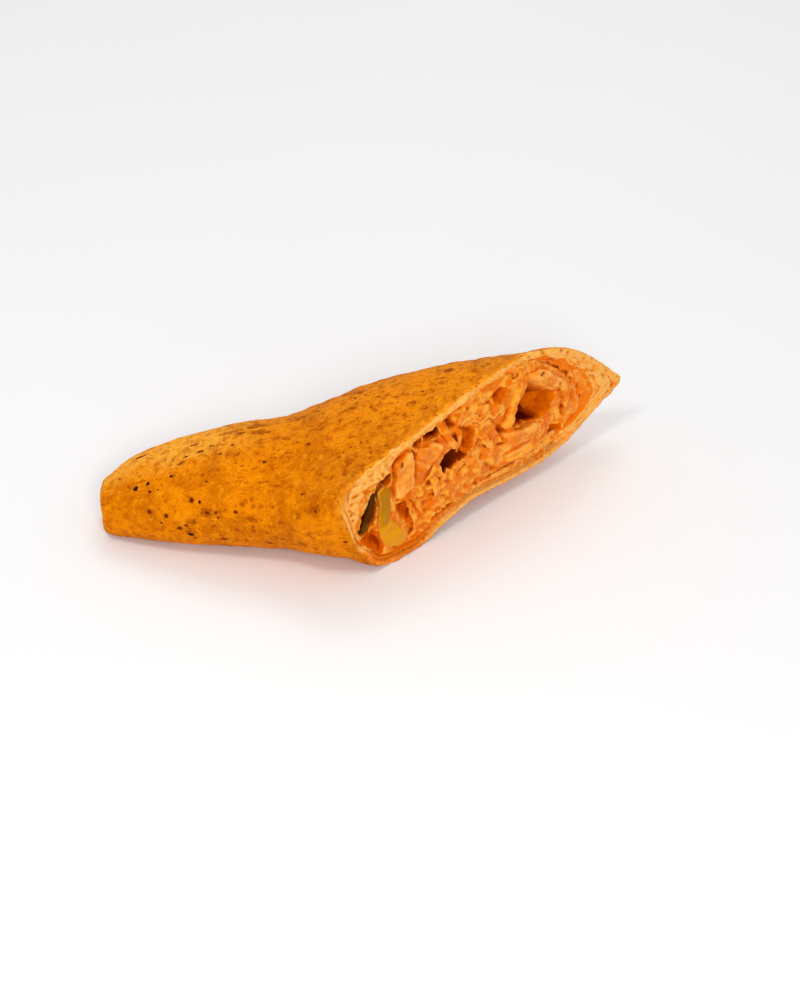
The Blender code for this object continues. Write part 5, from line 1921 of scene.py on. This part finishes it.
PLIES = (
    Ply("outer_ply_far",
        ((46.0, 44.2, -1.4), (51.0, 43.9, -0.5), (57.2, 42.2, -0.2), (65.4, 38.4, -0.1), (76.8, 28.5, -0.1),
         (82.9, 21.6, -0.1), (84.9, 17.6, -0.1), (81.8, 15.0, -0.2), (76.4, 12.8, -0.2), (69.0, 9.0, -0.4),
         (62.0, 7.2, -1.4)),
        ((46.0, 42.8, -2.0), (51.0, 42.0, -1.2), (56.3, 41.0, -0.5), (59.6, 38.8, 0.0), (62.4, 37.6, 0.2),
         (65.2, 34.0, 0.1), (68.4, 31.9, 0.4), (71.4, 28.2, 0.2), (74.2, 25.6, 0.5), (76.9, 19.8, 0.5),
         (74.6, 16.6, 0.0), (70.6, 14.0, -0.6), (66.0, 11.6, -1.0), (61.0, 9.8, -2.0)),
        1.2, 0.25, 0.60, 0.12, 0.10, (8.0, 1.3)),
    Ply("outer_ply_rim",
        ((45.0, 45.0, -0.8), (51.0, 44.6, -0.1), (57.4, 42.9, 0.1), (65.6, 39.0, 0.1), (72.4, 33.4, 0.1),
         (77.2, 28.9, 0.0), (81.0, 24.6, -0.4)),
        ((46.0, 44.0, -0.6), (52.0, 43.0, 0.1), (57.6, 41.5, 0.4), (62.4, 38.9, 0.5), (66.2, 36.6, 0.5),
         (70.4, 33.0, 0.4), (74.8, 29.4, 0.3), (79.4, 25.6, -0.2)),
        0.8, 0.20, 0.15, 0.25, 0.0, (2.6, 1.5)),
    Ply("tip_fold",
        ((78.6, 26.2, -0.5), (82.4, 22.9, -0.2), (85.4, 20.3, -0.1), (86.5, 18.3, -0.1), (85.6, 16.3, -0.2),
         (82.0, 15.0, -0.5)),
        ((78.0, 24.4, 0.2), (81.4, 21.0, 0.6), (83.4, 19.2, 0.8), (84.0, 18.2, 0.8), (83.4, 17.3, 0.6),
         (81.2, 16.8, 0.1)),
        1.5, 0.15, 0.25, 0.10, 0.20, (2.6, 1.5)),
    Ply("inner_ply_lip",
        ((60.0, 40.4, -0.4), (66.4, 35.8, 0.0), (71.6, 29.8, 0.1), (75.4, 24.0, 0.1), (77.4, 18.6, 0.0),
         (75.0, 14.4, -0.6)),
        ((57.6, 37.8, -1.4), (61.2, 34.8, -1.1), (64.8, 30.4, -1.0), (67.6, 26.2, -1.0), (69.6, 21.6, -1.0),
         (71.0, 17.2, -1.0), (70.0, 13.8, -1.5)),
        0.8, 0.35, 0.95, 0.22, 0.55, (9.0, 1.5)),
    Ply("inner_ply_far",
        ((56.5, 42.2, -1.2), (64.0, 38.9, -0.3), (70.8, 33.6, -0.1), (76.0, 27.0, 0.0), (79.2, 19.6, 0.0),
         (76.6, 13.8, -0.8)),
        ((54.0, 38.4, -2.6), (59.2, 35.4, -2.5), (63.2, 30.8, -2.5), (65.4, 25.4, -2.5), (66.2, 19.4, -2.5),
         (66.4, 13.4, -2.2)),
        1.0, 0.40, 1.20, 0.08, 0.42, (13.0, 2.0)),
    Ply("inner_ply_near",
        ((-12.6, 35.2, -1.4), (-14.2, 32.6, -0.7), (-14.9, 29.0, -0.6), (-14.6, 24.6, -0.5), (-13.9, 20.4, -0.6),
         (-12.6, 16.2, -0.8), (-10.6, 12.4, -1.4)),
        ((-3.8, 31.8, -1.6), (-5.2, 29.6, -0.8), (-6.3, 27.2, -0.7), (-7.7, 24.8, -0.7), (-9.4, 22.6, -0.8),
         (-11.0, 20.4, -0.9), (-11.7, 17.2, -1.2), (-9.9, 14.0, -1.8)),
        0.9, 0.35, 0.40, 0.10, 0.28),
    Ply("inner_ply_top",
        ((-14.4, 32.4, -1.0), (-12.6, 34.6, -0.6), (-8.0, 36.2, -0.4), (-3.0, 37.3, -0.4), (2.0, 38.3, -0.5),
         (6.4, 39.1, -1.2)),
        ((-12.4, 31.0, -0.8), (-9.4, 31.2, 0.1), (-6.0, 31.6, 0.3), (-2.2, 32.0, 0.2), (-0.2, 34.4, 0.1),
         (4.2, 38.0, -0.8)),
        1.0, 0.30, 0.55, 0.08, 0.10),
    Ply("inner_ply_middle",
        ((14.6, 40.3, -1.2), (18.4, 41.6, -0.5), (22.4, 42.8, -0.3), (26.6, 43.7, -0.4), (31.0, 43.4, -1.2)),
        ((15.6, 39.6, -1.2), (18.2, 40.4, -0.2), (22.0, 40.9, 0.1), (25.6, 41.6, 0.2), (29.4, 42.2, -0.8)),
        1.0, 0.30, 0.45, 0.15, 0.25),
    Ply("inner_ply_under",
        ((22.0, 7.0, -1.2), (28.0, 8.8, -0.6), (36.0, 8.5, -0.5), (46.0, 7.8, -0.5), (56.0, 8.2, -0.7),
         (63.0, 10.2, -1.4)),
        ((22.6, 8.6, -1.4), (28.0, 10.2, -0.2), (36.0, 10.0, 0.0), (46.0, 9.8, 0.1), (55.0, 10.4, -0.2),
         (61.6, 12.4, -1.4)),
        1.0, 0.25, 0.35, 0.22, 0.35),
)


EDGE_STEPS = 120  # along each edge of a ply


@dataclass
class PlyMaker:
    """Lays a ply of dough between its two edges."""

    ply: Ply
    seed: int
    spacing: float = 0.4

    def build(self) -> Object:
        """Builds and dresses the ply.

        Returns:
            Its closed mesh.
        """
        ply = self.ply
        rolled, torn = (smooth_path(edge, EDGE_STEPS) for edge in (ply.rolled_edge, ply.torn_edge))
        length = np.linalg.norm(np.diff(rolled, axis=0), axis=1).sum()
        width = np.linalg.norm(rolled - torn, axis=1).mean()
        columns, rows = int(length / self.spacing), int(1.3 * width / self.spacing)
        sheet, run, q = new_grid(columns, max(6, rows))
        steps, along = np.linspace(0.0, 1.0, EDGE_STEPS), run * length
        line = level_rows(along, np.full_like(run, self.seed * 9.1))
        reach = q * (1.0 + ply.ragged * (waves(line, 2.2, self.seed) + 0.7 * waves(line, 0.9, self.seed + 1)) * q)
        near, off = (
            np.stack([np.interp(run, steps, column) for column in edge.T], axis=1) for edge in (rolled, torn)
        )
        place = near + (off - near) * reach[:, None]
        wave = ply.ruffle * waves(level_rows(along, q * width * 0.4), (3.4, 6.0, 1.0), self.seed + 2) * (0.3 + q)
        creased = np.abs(waves(level_rows(along, q * width), (*ply.fold_size, 1.0), self.seed + 3))
        folds = ply.crumple * (0.5 - creased * 1.6)
        height = place[:, 2] + wave + folds * np.sin(math.pi * np.clip(q, 0.3, 1.0))
        height += 0.10 * waves(place, 0.8, self.seed + 4)
        write_places(sheet, CutPlane.place(place[:, 0], place[:, 1], height))
        stain = ply.stain + 0.45 * eased(-folds, 0.0, 0.35 * ply.crumple + 0.05)
        stain += 0.3 * waves(place, 3.0, self.seed + 5)
        paint(sheet, dough=np.ones_like(q), stain=stain, shade=0.40 * eased(-folds / ply.crumple, 0.10, 0.6))
        edit_all(sheet)
        bpy.ops.mesh.normals_make_consistent(inside=False)
        bpy.ops.object.mode_set(mode="OBJECT")
        if (read_normals(sheet) @ CutPlane.outward).mean() < 0.0:
            bpy.ops.object.mode_set(mode="EDIT")
            bpy.ops.mesh.flip_normals()
            bpy.ops.object.mode_set(mode="OBJECT")
        finish_with(sheet, "SOLIDIFY", thickness=ply.thickness * MM, offset=-1.0)
        finish_with(sheet, "SUBSURF", levels=1, render_levels=1)
        sheet.name = sheet.data.name = ply.piece
        return Finish.DOUGH.on(leave_shaded(sheet))


# ---------------------------------------------------------------- the separate pieces


@dataclass(frozen=True)
class MorselPlan:
    """How a separate piece is finished: the direction of its fibres and the size of its relief."""

    node: str
    piece: str
    finish: Finish
    slot: str
    fibre_deg: float
    fibre_depth: float
    lump_depth: float
    tilt: Span = (0.0, 0.0)  # rise of its face along u and up v
    sauced: tuple[tuple[float, float, float, float], ...] = ()  # u, v, reach and amount
    drawn_down: float = 0.0  # in mm, at its foot
    pits: tuple[Place, ...] = ()  # u, v and radius


MORSELS = (
    MorselPlan(
        "chicken_chunk", "chicken_chunk_torn", Finish.CHICKEN, "chicken", 80.0, 0.16, 0.60, (-0.04, 0.0),
        ((1.6, 36.4, 3.6, 1.0), (0.8, 31.6, 2.6, 0.7), (4.6, 27.0, 1.6, 0.4)),
        pits=((2.4, 33.4, 0.55), (5.6, 23.0, 0.4)),
    ),
    MorselPlan(
        "chicken_strip", "chicken_strip_curved", Finish.CHICKEN, "chicken", -40.0, 0.22, 0.65, (0.05, 0.04),
        ((9.4, 25.0, 4.6, 1.0), (10.6, 31.4, 3.4, 0.8), (13.6, 25.6, 2.6, 0.6)),
    ),
    MorselPlan(
        "chicken_slab", "chicken_slab_sliced", Finish.CHICKEN, "chicken", -42.0, 0.16, 0.35, (0.0, 0.04),
        ((51.6, 38.8, 2.0, 0.5), (58.4, 33.0, 2.4, 0.6)),
        pits=((54.0, 36.9, 0.62), (61.4, 29.6, 0.3)),
    ),
    MorselPlan(
        "chicken_wedge", "chicken_wedge_sliced", Finish.CHICKEN, "chicken", 12.0, 0.26, 0.50, (0.0, 0.06),
        ((45.0, 19.6, 2.8, 0.9), (51.6, 17.0, 2.4, 0.6), (48.0, 15.6, 2.0, 0.7)),
    ),
    MorselPlan("chicken_slice", "chicken_slice_thin", Finish.CHICKEN, "chicken", 10.0, 0.18, 0.25),
    MorselPlan("pickle_slice", "pickle_slice_wet", Finish.PICKLE, "pickle", 90.0, 0.05, 0.20, drawn_down=1.4),
    MorselPlan("pickle_strip", "pickle_strip_dark", Finish.PICKLE_SKIN, "pickle_skin", 60.0, 0.05, 0.25),
)  # fmt: skip


@dataclass
class Morsel:
    """A separate piece of chicken or pickle, made from its own solid."""

    plan: MorselPlan
    node: Object
    voxel: float = 0.36
    smoothing: int = 5
    groove_rounds: int = 12
    pit_depth: float = 1.3
    foot: float = 9.0  # height up to which its foot is drawn down

    def build(self) -> Object:
        """Builds and dresses the piece.

        Returns:
            The piece.
        """
        plan = self.plan
        piece = copy_of(self.node, plan.piece)
        remesh(piece, self.voxel, self.smoothing)
        places, normals = read_places(piece), read_normals(piece)
        u, v, h = CutPlane.read(places)
        turn = math.radians(plan.fibre_deg)
        along, across = u * math.cos(turn) + v * math.sin(turn), v * math.cos(turn) - u * math.sin(turn)
        seed = 50 + len(plan.node)
        fibres = waves(np.stack([along, across, h * 0.6], axis=1), (7.0, 0.9, 2.0), seed)
        lumps = waves(places, 3.4, seed + 1)
        lift = plan.fibre_depth * fibres + plan.lump_depth * lumps + 0.08 * waves(places, 1.1, seed + 2)
        front = eased(h, -4.0, 0.0)
        tilt = plan.tilt[0] * (u - u.mean()) + plan.tilt[1] * (v - v.mean())
        down = plan.drawn_down * eased(v.min() + self.foot - v, 0.0, 7.0)
        moved = places + normals * lift[:, None] + CutPlane.outward * (tilt * front)[:, None]
        moved += down[:, None] * (0.4 * CutPlane.along - CutPlane.up)
        pitted = np.zeros(len(u))
        for at_u, at_v, radius in plan.pits:
            pit = 1.0 - eased(np.hypot(u - at_u, v - at_v), 0.6 * radius, 1.5 * radius)
            pitted = np.maximum(pitted, pit * front)
        write_places(piece, moved - CutPlane.outward * (self.pit_depth * pitted)[:, None])
        side = 1.0 - np.abs(normals @ CutPlane.outward)
        if plan.slot == "chicken":
            sauce = 0.55 * side + 0.35 * eased(-fibres, 0.0, 0.7) + 0.5 * eased(-h, 1.5, 4.0)
            wobble = 0.8 * waves(places, 2.4, seed + 3)
            for at_u, at_v, reach, amount in plan.sauced:
                sauce += amount * (1.0 - eased(np.hypot(u - at_u, v - at_v) + wobble, 0.4 * reach, 1.2 * reach))
            # crest: paler crests, partly a painted highlight; valley and deep: painted shade behind the cut face,
            # in grooves and in the painted dark pits, also darker where the sauce is thickest
            groove = sunken(piece, self.groove_rounds)
            low, risen = eased(groove, 0.02, 0.25), eased(-groove, 0.02, 0.25)
            valley = 0.9 * eased(-h, 0.8, 3.0) + 0.5 * eased(groove, 0.10, 0.40) + 0.35 * eased(sauce, 0.9, 1.5)
            paint(
                piece,
                crest=0.9 * eased(-groove, 0.0, 0.2) * eased(h, -0.8, 0.4),
                sauce=sauce + 0.5 * low - 0.3 * risen,
                valley=valley,
                deep=np.maximum(0.9 * eased(-h, 2.0, 6.5), 0.95 * pitted),
            )
            # behind the cut face the chicken takes the copy without reflection, standing in for shade
            Finish.CHICKEN_IN_HOLLOWS.on_hollows(plan.finish.on(piece), eased(-h, 0.6, 1.4))
        else:
            ripe = eased(-v, -22.5, -11.5) + 0.25 * waves(places, 4.0, seed + 3)
            paint(piece, ripe=ripe, skin=eased(side, 0.45, 0.85))
            plan.finish.on(piece)
        return piece


# ---------------------------------------------------------------- the studio


LAMPS = (
    # name, place in metres, width in metres and power in watts
    ("key", (-0.18, -0.28, 0.62), 0.12, 0.9),
    ("top", (0.02, 0.30, 0.60), 0.30, 0.7),
    ("fill", (0.10, -0.66, 0.50), 0.18, 1.9),
)


@dataclass
class Studio:
    """Floor, lights and camera."""

    lens: float = 100.0
    sensor: float = 36.0
    place: Place = (0.00937, -0.58514, 0.49376)
    tilt_deg: float = 50.0
    floor_size: float = 4.0
    air: float = 0.62
    aim: Place = (0.0, 0.0, 0.02)  # of the lamps

    def build(self) -> None:
        """Builds the floor, the lights and the camera."""
        scene = bpy.context.scene
        scene.view_settings.view_transform = "Standard"
        bpy.ops.object.select_all(action="DESELECT")
        bpy.ops.mesh.primitive_plane_add(size=self.floor_size, location=(0, 0, 0))
        floor = bpy.context.active_object
        floor.name = "floor"
        kit = NodeKit("pale_floor")
        kit.colour(kit.blended(kit.ranged(kit.noise(400.0), 0.3, 0.7), (0.90, 0.90, 0.90), (0.92, 0.92, 0.92)))
        kit.set(Roughness=0.9, Specular_IOR_Level=0.1)
        floor.data.materials.append(kit.material)
        world = bpy.data.worlds.new("studio_air")
        scene.world = world
        world.use_nodes = True
        air = world.node_tree.nodes["Background"].inputs
        air["Color"].default_value, air["Strength"].default_value = (1.0, 1.0, 1.0, 1.0), self.air
        for lamp in LAMPS:
            self.softbox(*lamp)
        data = bpy.data.cameras.new("photo_camera")
        data.lens = self.lens
        data.sensor_width = self.sensor
        data.clip_start = 0.01
        camera = new_object("photo_camera", data)
        camera.location = self.place
        camera.rotation_euler = (math.radians(self.tilt_deg), 0.0, 0.0)
        scene.camera = camera

    def softbox(self, name: str, place: Place, size: float, power: float) -> None:
        """Hangs a soft light that points at the wrap.

        Args:
            name: Its name.
            place: Where it hangs, in metres.
            size: Its width in metres.
            power: Its power in watts.
        """
        data = bpy.data.lights.new(name, "AREA")
        data.size = size
        data.energy = power
        light = new_object(name, data)
        light.location = place
        toward = np.array(self.aim) - np.array(place)
        toward /= np.linalg.norm(toward)
        light.rotation_euler = (math.acos(-toward[2]), 0.0, math.atan2(-toward[0], toward[1]))


def main() -> None:
    """Builds the wrap piece by piece, in order, and then the studio."""
    logging.basicConfig(level=logging.INFO, format="%(name)s: %(message)s")
    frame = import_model()
    nodes = frame["nodes"]

    tortilla = Tortilla(nodes["tortilla"]).build()
    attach(tortilla, "root")
    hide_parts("tortilla")
    report(tortilla)

    for k, ply in enumerate(PLIES):
        piece = PlyMaker(ply, PLY_SEED + PLY_SEED_STEP * k).build()
        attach(piece, "root")
        report(piece)

    for piece in Filling(nodes["filling"]).build():
        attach(piece, "root")
        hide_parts("filling")
        report(piece)

    for plan in MORSELS:
        piece = Morsel(plan, nodes[plan.node]).build()
        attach(piece, "root")
        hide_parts(plan.node)
        report(piece)

    Studio().build()


if __name__ == "__main__":
    main()
